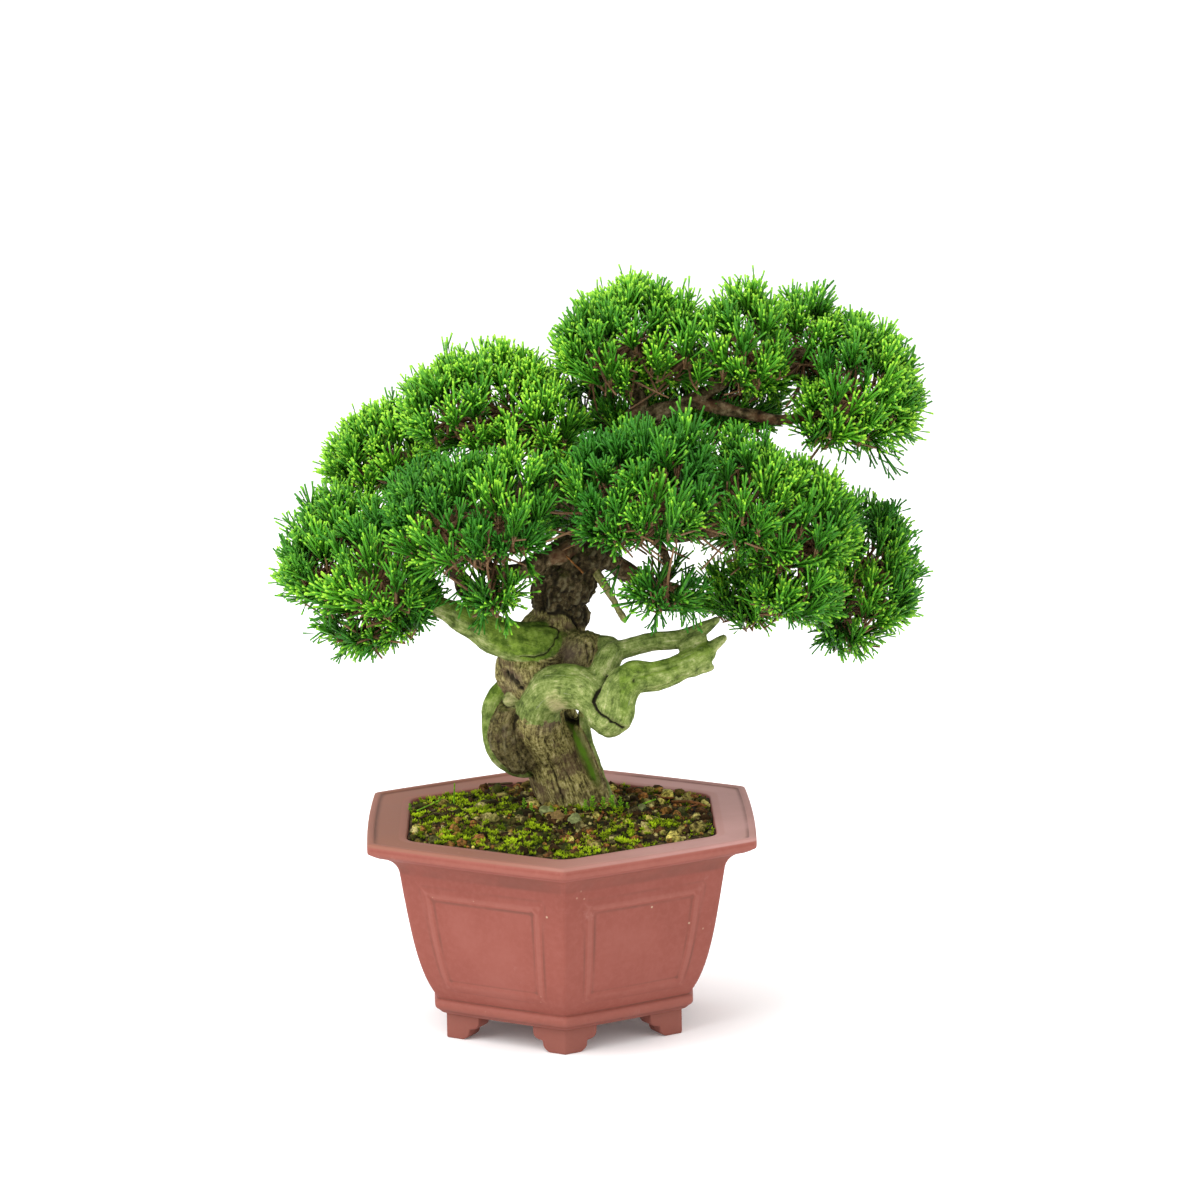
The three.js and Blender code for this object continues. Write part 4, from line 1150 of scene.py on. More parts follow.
# %% Bark and fibres pushed out and in
def relief(w, a, b, place, bare, age):
    """The surface's height over the smooth skin; w runs along the limb, a and b across it."""
    flutes = noise.fractal(Vector((w * 0.03, a * 0.15, b * 0.15)), 1, 2, 2)
    fibres = noise.fractal(Vector((w * 0.07, a * 0.62, b * 0.62)), 0.9, 2, 3)
    lumps = noise.fractal(place * 0.14, 1, 2, 3)
    bark = 1.5 * flutes + 0.5 * fibres + 0.55 * lumps
    if age > 0:
        bark += age * 2.1 * noise.fractal(Vector((w * 0.16, a * 0.3, b * 0.3)), 0.7, 2, 4)
    smooth_wood = 0.5 * flutes + 0.2 * fibres + 0.3 * lumps
    return bark + (smooth_wood - bark) * bare + 0.35 - 0.3 * abs(fibres) * (1 - bare)


pushed = np.array([relief(*grain[i], Vector(places[i]), bareness[i], old[i]) for i in range(len(places))])
pushed = pushed * (0.3 + 0.7 * settled) - pressed
wood_bm.normal_update()
for vertex, amount in zip(wood_bm.verts, pushed):
    vertex.co += vertex.normal * amount
smooth(wood_bm, 0.25)
print("relief from", round(float(pushed.min()), 2), "to", round(float(pushed.max()), 2), "mm")

# %% [markdown]
# The wood is painted by what each point is: bark or bare wood, dark old bark up high with painted
# shade from the foliage over it, green with algae where it faces the sky or stays damp. These
# shares go into attributes, and so do the grain coordinates, which let the material draw fibres
# that follow the limb.

# %% The patterns that the wood's colours share
wood = Finish("juniper wood", Roughness=0.85, Specular_IOR_Level=0.12)
here = wood.place()
along_grain = wood.attribute("grain", "Vector")


def drawn_out(length_scale):
    """Coordinates along the grain in which a pattern is stretched along the limb."""
    return wood.add("Mapping", Vector=along_grain, Scale=(length_scale, 1.0, 1.0)).outputs["Vector"]


threads = wood.noise(drawn_out(0.1), 1.1, 5.0, 0.65)
silver = wood.between(wood.noise(drawn_out(0.1), 0.7, 4.0), 0.62, 0.74)
splits = wood.between(wood.noise(drawn_out(0.05), 2.3, 6.0, 0.7), 0.41, 0.35)
cloud = wood.noise(here, 70.0, 5.0, 0.65)
fine = wood.noise(here, 520.0, 4.0, 0.7)
mottle = wood.noise(here, 190.0, 6.0, 0.7)
greenness = wood.attribute("green")
hollow = wood.attribute("hollow")

# %% Bark: tan threads, dark old flakes with painted shade, algae where it is damp
bark = wood.ramp(
    wood.sum_of((threads, 0.5), (fine, 0.5)),
    (0.36, (0.012, 0.008, 0.004)), (0.45, (0.1, 0.082, 0.027)), (0.54, (0.34, 0.3, 0.1)),
    (0.65, (0.62, 0.53, 0.28)),
)
bark = wood.over(bark, wood.between(cloud, 0.48, 0.62), 0.7, (0.115, 0.07, 0.045))
plum_bark = wood.mix(fine, (0.05, 0.034, 0.026), (0.2, 0.145, 0.105))
bark = wood.mix(wood.attribute("plum"), bark, plum_bark)
# Old flaking bark, with painted shade where the foliage hangs over the trunk.
old_bark_and_painted_shade = wood.ramp(
    wood.sum_of((mottle, 0.6), (fine, 0.4)),
    (0.4, (0.006, 0.004, 0.002)), (0.49, (0.035, 0.025, 0.01)), (0.58, (0.1, 0.075, 0.035)),
    (0.7, (0.24, 0.19, 0.1)),
)
bark = wood.mix(wood.attribute("old"), bark, old_bark_and_painted_shade)
algae = wood.mix(fine, (0.03, 0.05, 0.006), (0.12, 0.16, 0.02))
dampness = wood.between(wood.sum_of((greenness, 1.0), (cloud, 0.6)), 0.5, 1.1)
bark = wood.mix(wood.times(dampness, 0.8), bark, algae)
vivid = wood.between(wood.sum_of((greenness, 1.0), (mottle, 0.6)), 1.15, 1.5)
bark = wood.over(bark, vivid, 0.9, (0.075, 0.17, 0.008))

# %% Bare wood: grey-green, speckled, bleached at its high places
pale = wood.ramp(
    wood.sum_of((mottle, 0.5), (fine, 0.2), (threads, 0.3)),
    (0.4, (0.06, 0.085, 0.02)), (0.475, (0.15, 0.205, 0.048)), (0.54, (0.27, 0.325, 0.1)),
    (0.63, (0.54, 0.52, 0.28)),
)
fresh = wood.mix(wood.between(mottle, 0.36, 0.64), (0.045, 0.09, 0.005), (0.19, 0.3, 0.03))
fresh_share = wood.between(wood.sum_of((greenness, 1.0), (cloud, 0.7)), 0.85, 1.25)
pale = wood.mix(wood.times(fresh_share, 0.85), pale, fresh)
bleached_share = wood.times(wood.attribute("bleached"), wood.between(mottle, 0.38, 0.6))
pale = wood.mix(bleached_share, pale, (0.46, 0.38, 0.2))
pale = wood.over(pale, silver, 0.3, (0.4, 0.4, 0.3))
pits = wood.between(wood.noise(here, 330.0, 2.0), 0.66, 0.74)
pale = wood.over(pale, pits, 0.5, (0.05, 0.06, 0.02))

# %% Bark and bare wood together, with dark cracks, painted shade in hollows and pressed marks, and wear and a painted highlight on ridges
surface = wood.mix(wood.between(wood.attribute("bare"), 0.25, 0.75), bark, pale)
surface = wood.over(surface, splits, 0.6, (0.03, 0.03, 0.01))
# Painted shade in the hollows.
surface = wood.over(surface, wood.between(hollow, 0.03, 0.16), 0.85, (0.012, 0.009, 0.004))
# Wear and a painted highlight on the ridges.
surface = wood.over(surface, wood.between(hollow, -0.04, -0.16), 0.25, (0.3, 0.27, 0.15))
# Painted shade in the cracks, furrows and hollows pressed into the skin.
surface = wood.over(surface, wood.between(wood.attribute("pressed"), 0.7, 1.7), 0.9, (0.01, 0.008, 0.004))
wood.surface(surface, wood.bump(threads, 0.55, 0.8, wood.bump(fine, 0.35, 0.5)))
trunk_piece = piece_of(wood_bm, "trunk_and_deadwood", wood.material, "bark", "tree")
mark_hollows(trunk_piece.data, 2)


# %% Where the wood is green, plum or bleached
def near_spot(spot, radii, most):
    """A share that is highest at a spot and fades round it."""
    return most * np.exp(-(((places - spot) / radii) ** 2).sum(1))


facing = np.empty(len(places) * 3, np.float32)
trunk_piece.data.vertices.foreach_get("normal", facing)
up = facing.reshape(-1, 3)[:, 2]
green = np.where(bareness > 0.5, 0.42 + 0.25 * up, 0.12 + 0.42 * np.clip(up, 0, 1))
band = np.exp(-(((x - ridge_line + 3.3) / 2) ** 2)) * (y < 10)
green += 1.1 * band * np.clip((height - 94) / 6, 0, 1) * np.clip((126 - height) / 6, 0, 1)
green += np.where(limb_name == "first branch", 0.45 * np.clip(up + 0.2, -1, 1), 0)
green += near_spot(GREEN_EYE, (15, 9, 6.5), 0.9) * (1 - outside_eye)
green += np.where((limb_name == "front prong") & (x > 24), 0.22, 0)
green += np.where(limb_name == "loop", 0.3, 0) - np.where(limb_name == "knob", 0.25, 0)
plum = near_spot((4.4, -8, 153.5), (6, 9, 7), 0.85) + near_spot((-4, -14, 127), (9, 8, 5), 0.5)
plum += near_spot((-18, -10, 143.5), (7, 7, 6), 0.5)
bleached = near_spot((-1, -24, 136.5), (3.5, 8, 4.5), 0.8) + 0.4 * (limb_name == "knob")
shares = {
    "bleached": bleached, "green": green, "bare": bareness, "old": old, "plum": plum, "pressed": pressed,
}
for name, values in shares.items():
    store(trunk_piece.data, name, values)
store(trunk_piece.data, "grain", grain, "FLOAT_VECTOR")
print("green from", round(float(green.min()), 2), "to", round(float(green.max()), 2))

# %% [markdown]
# ## Branches
#
# The thinner branches carry the pads. They need no remesh: tubes of a few sides, uneven and with
# a flaking reddish-brown bark, are enough where the foliage nearly hides them.

# %% The branches that carry the pads
BRANCHES = [
    [(-24, -5, 161, 5.4), (-36, 10, 176, 3.6), (-46, 28, 189, 2.6), (-48, 44, 199, 1.6)],
    [(16, 8, 205, 4.8), (-5, 28, 211, 3.6), (-35, 38, 220, 2.8), (-70, 40, 230, 1.6)],
    [
        (8, 2, 195, 5), (-4, -7, 193, 3.6), (-16, -16, 189, 3), (-29, -25, 193, 2.6), (-38, -33, 206, 2),
        (-42, -36, 216, 1.3),
    ],
    [(22, 8, 216, 4.4), (6, 12, 229, 3.4), (-10, 14, 241, 2.6), (-26, 12, 251, 1.6)],
    [(20, 2, 211, 4.2), (26, -14, 216, 3.4), (32, -28, 221, 2.6), (36, -36, 228, 1.6)],
    [(16, 2, 202, 4.8), (34, -10, 203, 3.6), (54, -20, 205, 3), (74, -28, 208, 2.4), (94, -26, 210, 1.5)],
    [
        (14, 9, 194, 5.2), (35, 15, 179, 3.8), (58, 16, 170, 3.3), (79, 15, 168, 2.9), (102, 17, 170, 2.4),
        (122, 21, 175, 2), (134, 22, 184, 1.4),
    ],
    [(19, 9, 205, 4.2), (21, 30, 207, 3.2), (22, 48, 209, 2.4), (24, 60, 212, 1.4)],
    [(16, 9, 200, 4.6), (43, 30, 198, 3.4), (68, 46, 199, 2.4), (94, 53, 201, 1.4)],
    [(29, 8, 231, 3.6), (24, 18, 240, 2.8), (18, 30, 248, 1.8)],
    [(31, 8, 237, 3.6), (46, 22, 246, 2.8), (62, 30, 250, 2.2), (77, 30, 252, 1.4)],
    [(30, -7, 203, 2.6), (38, -16, 202, 2), (43, -28, 196, 1.6), (43, -36, 187, 1.2)],
    [(34, 8, 248, 4), (33, 8, 260, 3), (32, 8, 272, 2.2), (31, 8, 282, 1.4)],
    [(33, 8, 254, 2.4), (24, 4, 262, 1.9), (16, 2, 276, 1.3)],
    [
        (33, 8, 245, 4.2), (47, 6, 251, 3.2), (60, 4, 256, 3), (71, 3, 264, 2.6), (88, 4, 270, 2),
        (104, 8, 274, 1.3),
    ],
    [(58, 4, 254, 3), (76, 1, 249, 2.4), (96, -1, 247, 2), (118, 0, 254, 1.7), (132, 3, 256, 1.2)],
]
BRANCH_SIDES, BRANCH_STEP, BRANCH_ROUGHNESS = 12, 1.4, 0.55

branch_bm = bmesh.new()
for seed, route in enumerate(BRANCHES):
    tube(branch_bm, route, BRANCH_SIDES, BRANCH_STEP, BRANCH_ROUGHNESS, seed * 7)
bmesh.ops.recalc_face_normals(branch_bm, faces=branch_bm.faces)

flaking = Finish("flaking branch bark", Roughness=0.85, Specular_IOR_Level=0.1)
here = flaking.place()
flakes = flaking.noise(here, 260.0, 5.0, 0.7)
rind = flaking.ramp(
    flakes, (0.36, (0.01, 0.007, 0.003)), (0.48, (0.07, 0.05, 0.022)), (0.6, (0.2, 0.15, 0.08)),
    (0.74, (0.4, 0.32, 0.2)),
)
rusty = flaking.between(flaking.noise(here, 90.0, 3.0), 0.5, 0.62)
rind = flaking.over(rind, rusty, 0.4, (0.17, 0.07, 0.035))
flaking.surface(rind, flaking.bump(flakes, 0.9, 1.1))
piece_of(branch_bm, "branches", flaking.material, "bark", "tree")

# %% [markdown]
# ## Strangers on the soil
#
# A few other things live in the pot: lobed seed leaves, green needles that stand up, seedlings
# at the trunk's foot, and rusty twigs that fell from above. They are few, so each has its place.


# %% Templates of a leaf, a seedling and a twig
def lobed_leaf(lobes):
    """A flat leaf of radius 1 with a scalloped edge."""
    bm = bmesh.new()
    rim = bmesh.ops.create_circle(bm, segments=30, radius=1, cap_ends=True)["verts"]
    for vertex in rim:
        angle = math.atan2(vertex.co.y, vertex.co.x)
        vertex.co *= 0.6 + 0.4 * math.sqrt(abs(math.cos(lobes * angle / 2)))
    bmesh.ops.solidify(bm, geom=bm.faces[:], thickness=0.08)
    bmesh.ops.triangulate(bm, faces=[f for f in bm.faces if len(f.verts) > 4])
    return template_of(bm, "lobed leaf")


def seedling(seed):
    """A stem with little leaves all round it."""
    draw = random.Random(seed)
    bm = bmesh.new()
    seat = Matrix.Translation((0, 0, 3))
    bmesh.ops.create_cone(bm, cap_ends=True, segments=4, radius1=0.2, radius2=0.15, depth=7, matrix=seat)
    for k in range(16):
        lean = rotated(GOLDEN_TURN * k, "Z") @ rotated(1.15 - 0.04 * k, "X")
        length = draw.uniform(1.5, 2.8) * (1 - 0.03 * k)
        seat = Matrix.Translation((0, 0, 0.38 * k)) @ lean @ Matrix.Translation((0, 0, length / 2))
        bmesh.ops.create_cone(
            bm, cap_ends=True, segments=3, radius1=0.16, radius2=0.45, depth=length, matrix=seat
        )
    return template_of(bm, "seedling")


def twig(points):
    bm = bmesh.new()
    tube(bm, points, 5, 1.2, 0.3)
    return template_of(bm, "twig")


# %% Where leaves, seedlings and twigs lie
# A leaf is its place, size, lobes, shade and turn in degrees; a seedling its place and size; a
# twig its shade and its points, with their height over the soil and radius.
LEAVES = [
    (-6, -7, 3.2, 3, 0.76, 20), (5.5, -16, 3, 3, 0.77, 200), (-1.5, -13, 3.1, 5, 0.54, 80),
    (33, 3, 2, 2, 0.76, 50),
]
LEAF_TILT, LEAF_LIFT = 0.8, 2.2
SEEDLING_SHADE = 0.96
SEEDLINGS = [
    (13, 0.5, 1), (17.5, -2, 0.9), (10, -2.5, 0.8), (21, -1, 1), (24.5, 4, 0.8), (-12, -3, 0.7), (-4, -6, 0.6),
    (2, -7, 0.6), (-15, 2, 0.7), (27, 0, 0.6), (-62, 16, 0.6), (-50, 26, 0.6),
]
TWIGS = [
    (0.45, [(13.5, 5, 1.6, 0.5), (20.5, 4.2, 1.8, 0.6)]),
    (0.45, [(17.2, 5.5, 2.4, 0.6), (17.6, 0.5, 1.2, 0.7), (17, -6, 0.8, 0.6)]),
    (0.42, [(16.5, -9, 1, 0.5), (15, -18, 0.8, 0.6)]),
    (0.2, [(-58, -3, 1.6, 0.5), (-52, 0.5, 2.2, 0.6), (-46, 0, 1.8, 0.4)]),
    (0.22, [(-57, 9, 1.6, 0.4), (-51, 8, 2, 0.5)]), (0.42, [(40, 24, 1, 0.5), (47, 27, 1.4, 0.5)]),
    (0.4, [(46, 20, 1, 0.6), (53, 17, 1.6, 0.7), (60, 14, 1.2, 0.5)]),
    (0.38, [(50, 9, 1, 0.5), (56, 13, 1.4, 0.5)]),
    (0.55, [(0, -12, 2.4, 0.25), (12, -10, 1.4, 0.25)]), (0.3, [(-30, 56, 1, 0.6), (-20, 58, 2, 0.6)]),
    (0.97, [(-44, 25, 0.5, 0.4), (-43.6, 24.6, 9.5, 0.3)]), (0.97, [(-59, 12, 2, 0.35), (-50, 15, 4, 0.3)]),
    (0.97, [(-48, -24, 1.6, 0.35), (-42, -25, 2, 0.3)]), (0.93, [(32, 8, 1, 0.45), (39, 12, 3.6, 0.4)]),
]
# A dead needle that hangs from the trunk, in the bonsai's own millimetres.
CAUGHT_SHOOT = [(3.5, -8.5, 194.1, 0.35), (7, -7.5, 190.2, 0.42), (10.3, -7.5, 186.8, 0.42)]
bits, shade = [(twig(CAUGHT_SHOOT), Matrix())], [0.47]
for x, y, size, lobes, tone, turn in LEAVES:
    tilt = rotated(LEAF_TILT, "X") @ rotated(math.radians(turn), "Z")
    bits.append((lobed_leaf(lobes), on_soil(x, y, LEAF_LIFT) @ tilt @ Matrix.Scale(size, 4)))
    shade.append(tone)
for number, (x, y, size) in enumerate(SEEDLINGS):
    bits.append((seedling(number), on_soil(x, y) @ Matrix.Scale(size, 4)))
    shade.append(SEEDLING_SHADE)
for tone, points in TWIGS:
    route = [(x, y, soil_height(x, y) + lift, radius) for x, y, lift, radius in points]
    bits.append((twig(route), Matrix()))
    shade.append(tone)
print("leaves, seedlings and twigs:", len(bits))

# %% From rust to green
fallen = Finish("leaves, seedlings and twigs", Roughness=0.7, Specular_IOR_Level=0.08)
veins = fallen.noise(fallen.place(), 600.0, 3.0)
blade = fallen.ramp(
    fallen.attribute("shade"),
    (0.15, (0.035, 0.02, 0.011)), (0.3, (0.13, 0.075, 0.04)), (0.45, (0.36, 0.12, 0.03)),
    (0.6, (0.3, 0.26, 0.1)), (0.78, (0.25, 0.29, 0.11)), (0.93, (0.26, 0.58, 0.025)),
)
blade = fallen.over(blade, fallen.between(veins, 0.7, 0.4), 0.6, (0.02, 0.02, 0.008))
fallen.surface(blade, fallen.bump(veins, 0.5, 0.3))
scattered_piece("leaves_and_twigs", bits, shade, fallen.material)

# %% [markdown]
# ## Foliage
#
# This juniper has scale leaves pressed tight to cord-like shoots about a millimetre thick. They
# grow as sprays: a stem, brown and bare at its foot, whose shoots leave it at narrow angles and
# carry short side shoots, and each ends in a yellow-green growing tip. Fourteen sprays are enough
# templates, because each copy gets its own length, turn and shade.

# %% Templates of a spray
SPRAY_LENGTH = 24
SHOOT_RADIUS = 0.53
MORE_OR_FEWER_FORKS = (2, 1)


def rod(bm, foot, way, length, radii, layers, values):
    """A three-sided straight shoot; values are the layers' numbers at its foot and its tip."""
    seat = Matrix.Translation(foot + way * (length / 2)) @ way.to_track_quat("Z", "Y").to_matrix().to_4x4()
    made = bmesh.ops.create_cone(
        bm, cap_ends=True, segments=3, radius1=radii[0], radius2=radii[1], depth=length, matrix=seat
    )["verts"]
    for vertex in made:
        at_tip = (vertex.co - foot).dot(way) > length / 2
        for layer, pair in zip(layers, values):
            vertex[layer] = pair[at_tip]
    if radii[0] == 0:
        bmesh.ops.remove_doubles(bm, verts=made, dist=0.001)


def leaning(lean, turn):
    """A direction that leans from +Z by an angle in degrees, towards a turn round it."""
    lean = math.radians(lean)
    return Vector((math.sin(lean) * math.cos(turn), math.sin(lean) * math.sin(turn), math.cos(lean)))


def beside(way, angle, turn):
    """A direction at an angle in degrees from another one, on the side that a turn gives."""
    side = Matrix.Rotation(turn, 3, way) @ way.orthogonal().normalized()
    return (way + math.tan(math.radians(angle)) * side).normalized()


def spray_layers(bm):
    """The numbers that each vertex of a spray carries."""
    return [bm.verts.layers.float.new(name) for name in ("tip", "woody", "tone")]


def spray_template(seed, shoots):
    """A woody foot, a green stem and shoots that lean to both sides of it, each with its forks."""
    draw = random.Random(seed)
    bm = bmesh.new()
    layers = spray_layers(bm)
    bare_foot = draw.uniform(0.2, 0.3) * SPRAY_LENGTH
    rest = SPRAY_LENGTH - bare_foot
    stem = leaning(draw.uniform(2, 9), draw.uniform(0, 6.28))
    elbow = Vector((0, 0, bare_foot))
    rod(bm, Vector(), Vector((0, 0, 1)), bare_foot + 0.6, (0.36, 0.42), layers, ((0, 0), (1, 0.8), (0, 0)))
    rod(bm, elbow, stem, rest, (SHOOT_RADIUS, 0.42), layers, ((0, 1), (0.3, 0), (0.5, 0.5)))
    flat = draw.uniform(0, 3.14)
    for k in range(shoots):
        start = rest * (0.62 * k / shoots + draw.uniform(-0.03, 0.05))
        way = leaning(draw.uniform(10, 34), flat + k * math.pi + draw.uniform(-0.8, 0.8))
        length = min(max(rest * draw.uniform(0.72, 1.0) - start, 7), 15)
        tone = (draw.random(),) * 2
        foot = elbow + stem * start
        rod(bm, foot, way, length, (SHOOT_RADIUS, SHOOT_RADIUS * 0.85), layers, ((0.2, 1), (0.1, 0), tone))
        side = draw.uniform(0, 6.28)
        for j in range(draw.choice(MORE_OR_FEWER_FORKS)):
            at = length * ((j + 0.75) / 3 + draw.uniform(-0.08, 0.08))
            aside = beside(way, draw.uniform(18, 36), side + j * math.pi + draw.uniform(-0.4, 0.4))
            reach = draw.uniform(4, 8)
            rod(bm, foot + way * at, aside, reach, (0, SHOOT_RADIUS), layers, ((0.45, 1), (0, 0), tone))
    return template_of(bm, "spray")


full_sprays = [spray_template(300 + k, 5) for k in range(10)]
long_sprays = [spray_template(340 + k, 4) for k in range(4)]
print("triangles of a spray:", sum(len(face.vertices) - 2 for face in full_sprays[0].polygons))

# %% [markdown]
# A pad is a few cushions that melt into one. All its shoots share a habit: they point away from
# the pad's root, out of the cushion and up to the light. So a tip is placed on the pad's surface
# first, and the spray runs back from it. Sprays with tips close together leave the same twig, as a
# plume, and share its shade. The undersides stay thin, because a gardener clears them.

# %% The pads: where each is rooted, and its cushions
# A root is a place; a cushion is its middle and its three radii.
PADS = {
    "foliage_crown_left": (
        (33, 8, 262), [(17, 2, 280, 18, 30, 19), (33, 13, 285, 20, 34, 21), (54, 5, 279, 15, 30, 20)]
    ),
    "foliage_crown_middle": ((75, 6, 262), [(77, 0, 282, 17, 34, 25), (101, 14, 277, 18, 32, 25)]),
    "foliage_crown_right": (
        (100, 2, 252), [(120, 0, 267, 21, 34, 25), (133, 8, 254, 16.5, 28, 24.5), (111, -8, 250, 20, 22, 15)]
    ),
    "foliage_crown_back": (
        (40, 20, 240), [(19, 32, 253, 21, 24, 16), (46, 36, 256, 21, 26, 18), (77, 30, 254, 22, 26, 16)]
    ),
    "foliage_upper_left": (
        (-8, 12, 236), [(-43, 4, 255, 21, 30, 21), (-22, 16, 257, 24, 34, 23), (-4, 2, 250, 19, 28, 20)]
    ),
    "foliage_back_left": ((-55, 40, 222), [(-80, 44, 229, 17, 28, 19), (-66, 38, 233, 18, 28, 22)]),
    "foliage_low_left": (
        (-60, -2, 176),
        [
            (-95.5, 0, 193.5, 18.5, 30, 22), (-71, -14, 195, 24, 34, 26), (-80, -2, 171, 19, 29, 22),
            (-87, 14, 207, 18, 26, 18), (-62, -2, 178, 16, 26, 19),
        ],
    ),
    "foliage_mid_left": (
        (-24, -20, 198), [(-46, -36, 219, 24, 30, 25), (-18, -30, 222, 24, 32, 26), (-26, -34, 187, 15, 18, 22)]
    ),
    "foliage_centre": ((28, -18, 208), [(21, -36, 226, 20, 32, 28), (45, -42, 229, 21, 34, 31)]),
    "foliage_front_hanging": ((38, -18, 205), [(43, -36, 188, 19, 22, 24)]),
    "foliage_mid_right": (
        (74, -20, 203), [(75, -32, 225, 21, 32, 28), (101, -22, 209, 20, 30, 28), (96, -26, 183, 20, 22, 18)]
    ),
    "foliage_low_right": (
        (110, 18, 172),
        [(127, 20, 193, 18, 30, 21.5), (133, 24, 174, 16.5, 30, 23.5), (119, 16, 161, 16, 24, 18)],
    ),
    "foliage_low_right_inner": ((79, 15, 168), [(77, 13, 176, 22, 24, 15)]),
    "foliage_back_centre": ((22, 46, 200), [(9, 58, 211, 25, 30, 25), (37, 58, 214, 25, 32, 26)]),
    "foliage_back_right": ((72, 44, 196), [(79, 54, 205, 24, 30, 25), (103, 48, 198, 22, 30, 25)]),
    "foliage_back_low_left": ((-42, 38, 190), [(-50, 52, 202, 17, 28, 24), (-29, 46, 205, 18, 28, 24)]),
}
# Cushions that are open tufts, with the share of their sprays that grow.
OPEN_TUFTS = {
    (-26, -34, 187): 0.4, (43, -36, 188): 0.3, (119, 16, 161): 0.5, (-80, -2, 171): 0.32,
    (-62, -2, 178): 0.6, (111, -8, 250): 0.6,
}
# Sprays that hang alone under a pad, each with its foot and its tip.
LONE_SPRAYS = {
    "foliage_crown_right": [
        ((118, 2, 243), (127, 4, 229)), ((123, 0, 243), (139, -4, 224)), ((126, 6, 246), (142, 8, 231)),
        ((112, -6, 242), (119, -8, 229)), ((128, -6, 248), (144, -8, 238)), ((121, 10, 244), (132, 12, 226)),
    ],
    "foliage_low_left": [
        ((-72, -4, 172), (-79, -6, 151)), ((-68, -2, 174), (-68, -4, 154)), ((-78, 0, 170), (-90, -2, 155)),
        ((-64, 0, 174), (-60, -2, 157)), ((-70, 8, 172), (-73, 12, 152)), ((-84, -4, 172), (-101, -6, 162)),
        ((-60, -6, 176), (-53, -8, 163)), ((-75, -12, 170), (-82, -16, 154)),
    ],
    "foliage_front_hanging": [
        ((34, -30, 192), (28, -34, 176)), ((26, -26, 196), (19, -30, 182)), ((50, -34, 188), (55, -38, 168)),
    ],
    "foliage_mid_left": [((-14, -26, 200), (-8, -30, 186)), ((-34, -30, 192), (-40, -34, 174))],
}
# Painted light and shadow: pads that catch more light than the others are painted lighter, and
# pads in the shadow of others darker.
PAINTED_PAD_LIGHT = {
    "foliage_crown_left": 0.15, "foliage_crown_middle": 0.12, "foliage_crown_right": 0.12,
    "foliage_upper_left": 0.22, "foliage_back_left": 0.34, "foliage_centre": -0.26, "foliage_mid_left": -0.18,
    "foliage_low_right": -0.04,
}

# %% Where the foliage ends
SOFTNESS = 6.0
LOBES = np.array([lobe for _, lobes in PADS.values() for lobe in lobes], float)
LIFT = 1.05


def even_directions(count, draw):
    """Directions spread evenly over a ball, on a golden spiral with a random turn."""
    k = np.arange(count)
    z = 1 - (2 * k + 1) / count
    angle = draw.uniform(0, 6.28) + k * math.pi * (3 - math.sqrt(5))
    reach = np.sqrt(1 - z * z)
    return np.stack([reach * np.cos(angle), reach * np.sin(angle), z], 1)


def depth_in_all(points):
    """Below 1 inside the foliage and 1 where the tips end; creases between cushions are filled."""
    away = np.linalg.norm((points[..., None, :] - LOBES[:, :3]) / LOBES[:, 3:], axis=-1)
    return -np.log(np.exp(-SOFTNESS * away).sum(-1)) / SOFTNESS


def surface_points(start, ways, reach):
    """Where rays from a place come to the depth reach, and which rays do so at all."""
    points = start + ways[:, None] * np.arange(4, 60)[:, None]
    outside = depth_in_all(points) >= np.asarray(reach)[:, None]
    return points[np.arange(len(ways)), outside.argmax(1)], outside.any(1)


def aims_of(tips, ways, root):
    """The direction of the shoot that ends at each tip: out of its pad, and up."""
    away = (tips - root) * (1, 0.6, 1)
    away /= np.linalg.norm(away, axis=1)[:, None]
    lift = LIFT * np.clip(0.75 + 0.8 * ways[:, 2], 0, 1)
    aims = 0.3 * ways * (1, 0.6, 1) + 0.55 * away + lift[:, None] * np.array((0, 0, 1))
    return aims / np.linalg.norm(aims, axis=1)[:, None]


def area_of(lobe):
    """A cushion's surface, by the usual rule of thumb for an ellipsoid."""
    _, _, _, rx, ry, rz = lobe
    p = 1.6
    return 4 * math.pi * (((rx * ry) ** p + (rx * rz) ** p + (ry * rz) ** p) / 3) ** (1 / p)


# %% Twigs of one cushion
AREA_PER_PLUME = 190
TWIG_TO_TIP = 20
PLUME_DEPTH = 0.96
HEART_DROP = 0.35
branch_points = [point for route in [*BRANCHES, FIRST_BRANCH, TRUNK[9:]] for point, _ in spline(route, 3)]


def twigs_of(bm, lobe, root, draw):
    """Adds a cushion's twigs; returns each plume's crown, two points of its twig, shade and stretch."""
    centre = np.array(lobe[:3], float)
    heart = Vector(centre - (0, 0, HEART_DROP * lobe[5]))
    joint = min(branch_points, key=lambda point: (point - heart).length)
    side = Vector((draw.uniform(-3, 3), draw.uniform(-3, 3), draw.uniform(-3, 1)))
    tube(bm, [(*joint, 1.5), (*((joint + heart) / 2 + side), 1.2), (*heart, 0.9)], 5, 6)
    ways = even_directions(round(area_of(lobe) / AREA_PER_PLUME), draw)
    crowns, found = surface_points(centre, ways, np.full(len(ways), PLUME_DEPTH))
    aims = aims_of(crowns, ways, root)
    plumes = []
    for crown, aim in zip(crowns[found], aims[found]):
        end = Vector(crown - aim * TWIG_TO_TIP * draw.uniform(0.85, 1.15))
        sag = Vector((draw.uniform(-2, 2), draw.uniform(-2, 2), draw.uniform(-3, 0)))
        middle = heart.lerp(end, 0.5) + sag
        tube(bm, [(*heart, 0.8), (*middle, 0.6), (*end, 0.42)], 4, 9)
        shade = 0.5 + 0.5 * noise.noise(Vector(crown) * 0.035) + draw.uniform(-0.22, 0.22)
        plumes.append((crown, end, middle, shade, draw.uniform(0.88, 1.08)))
    return plumes


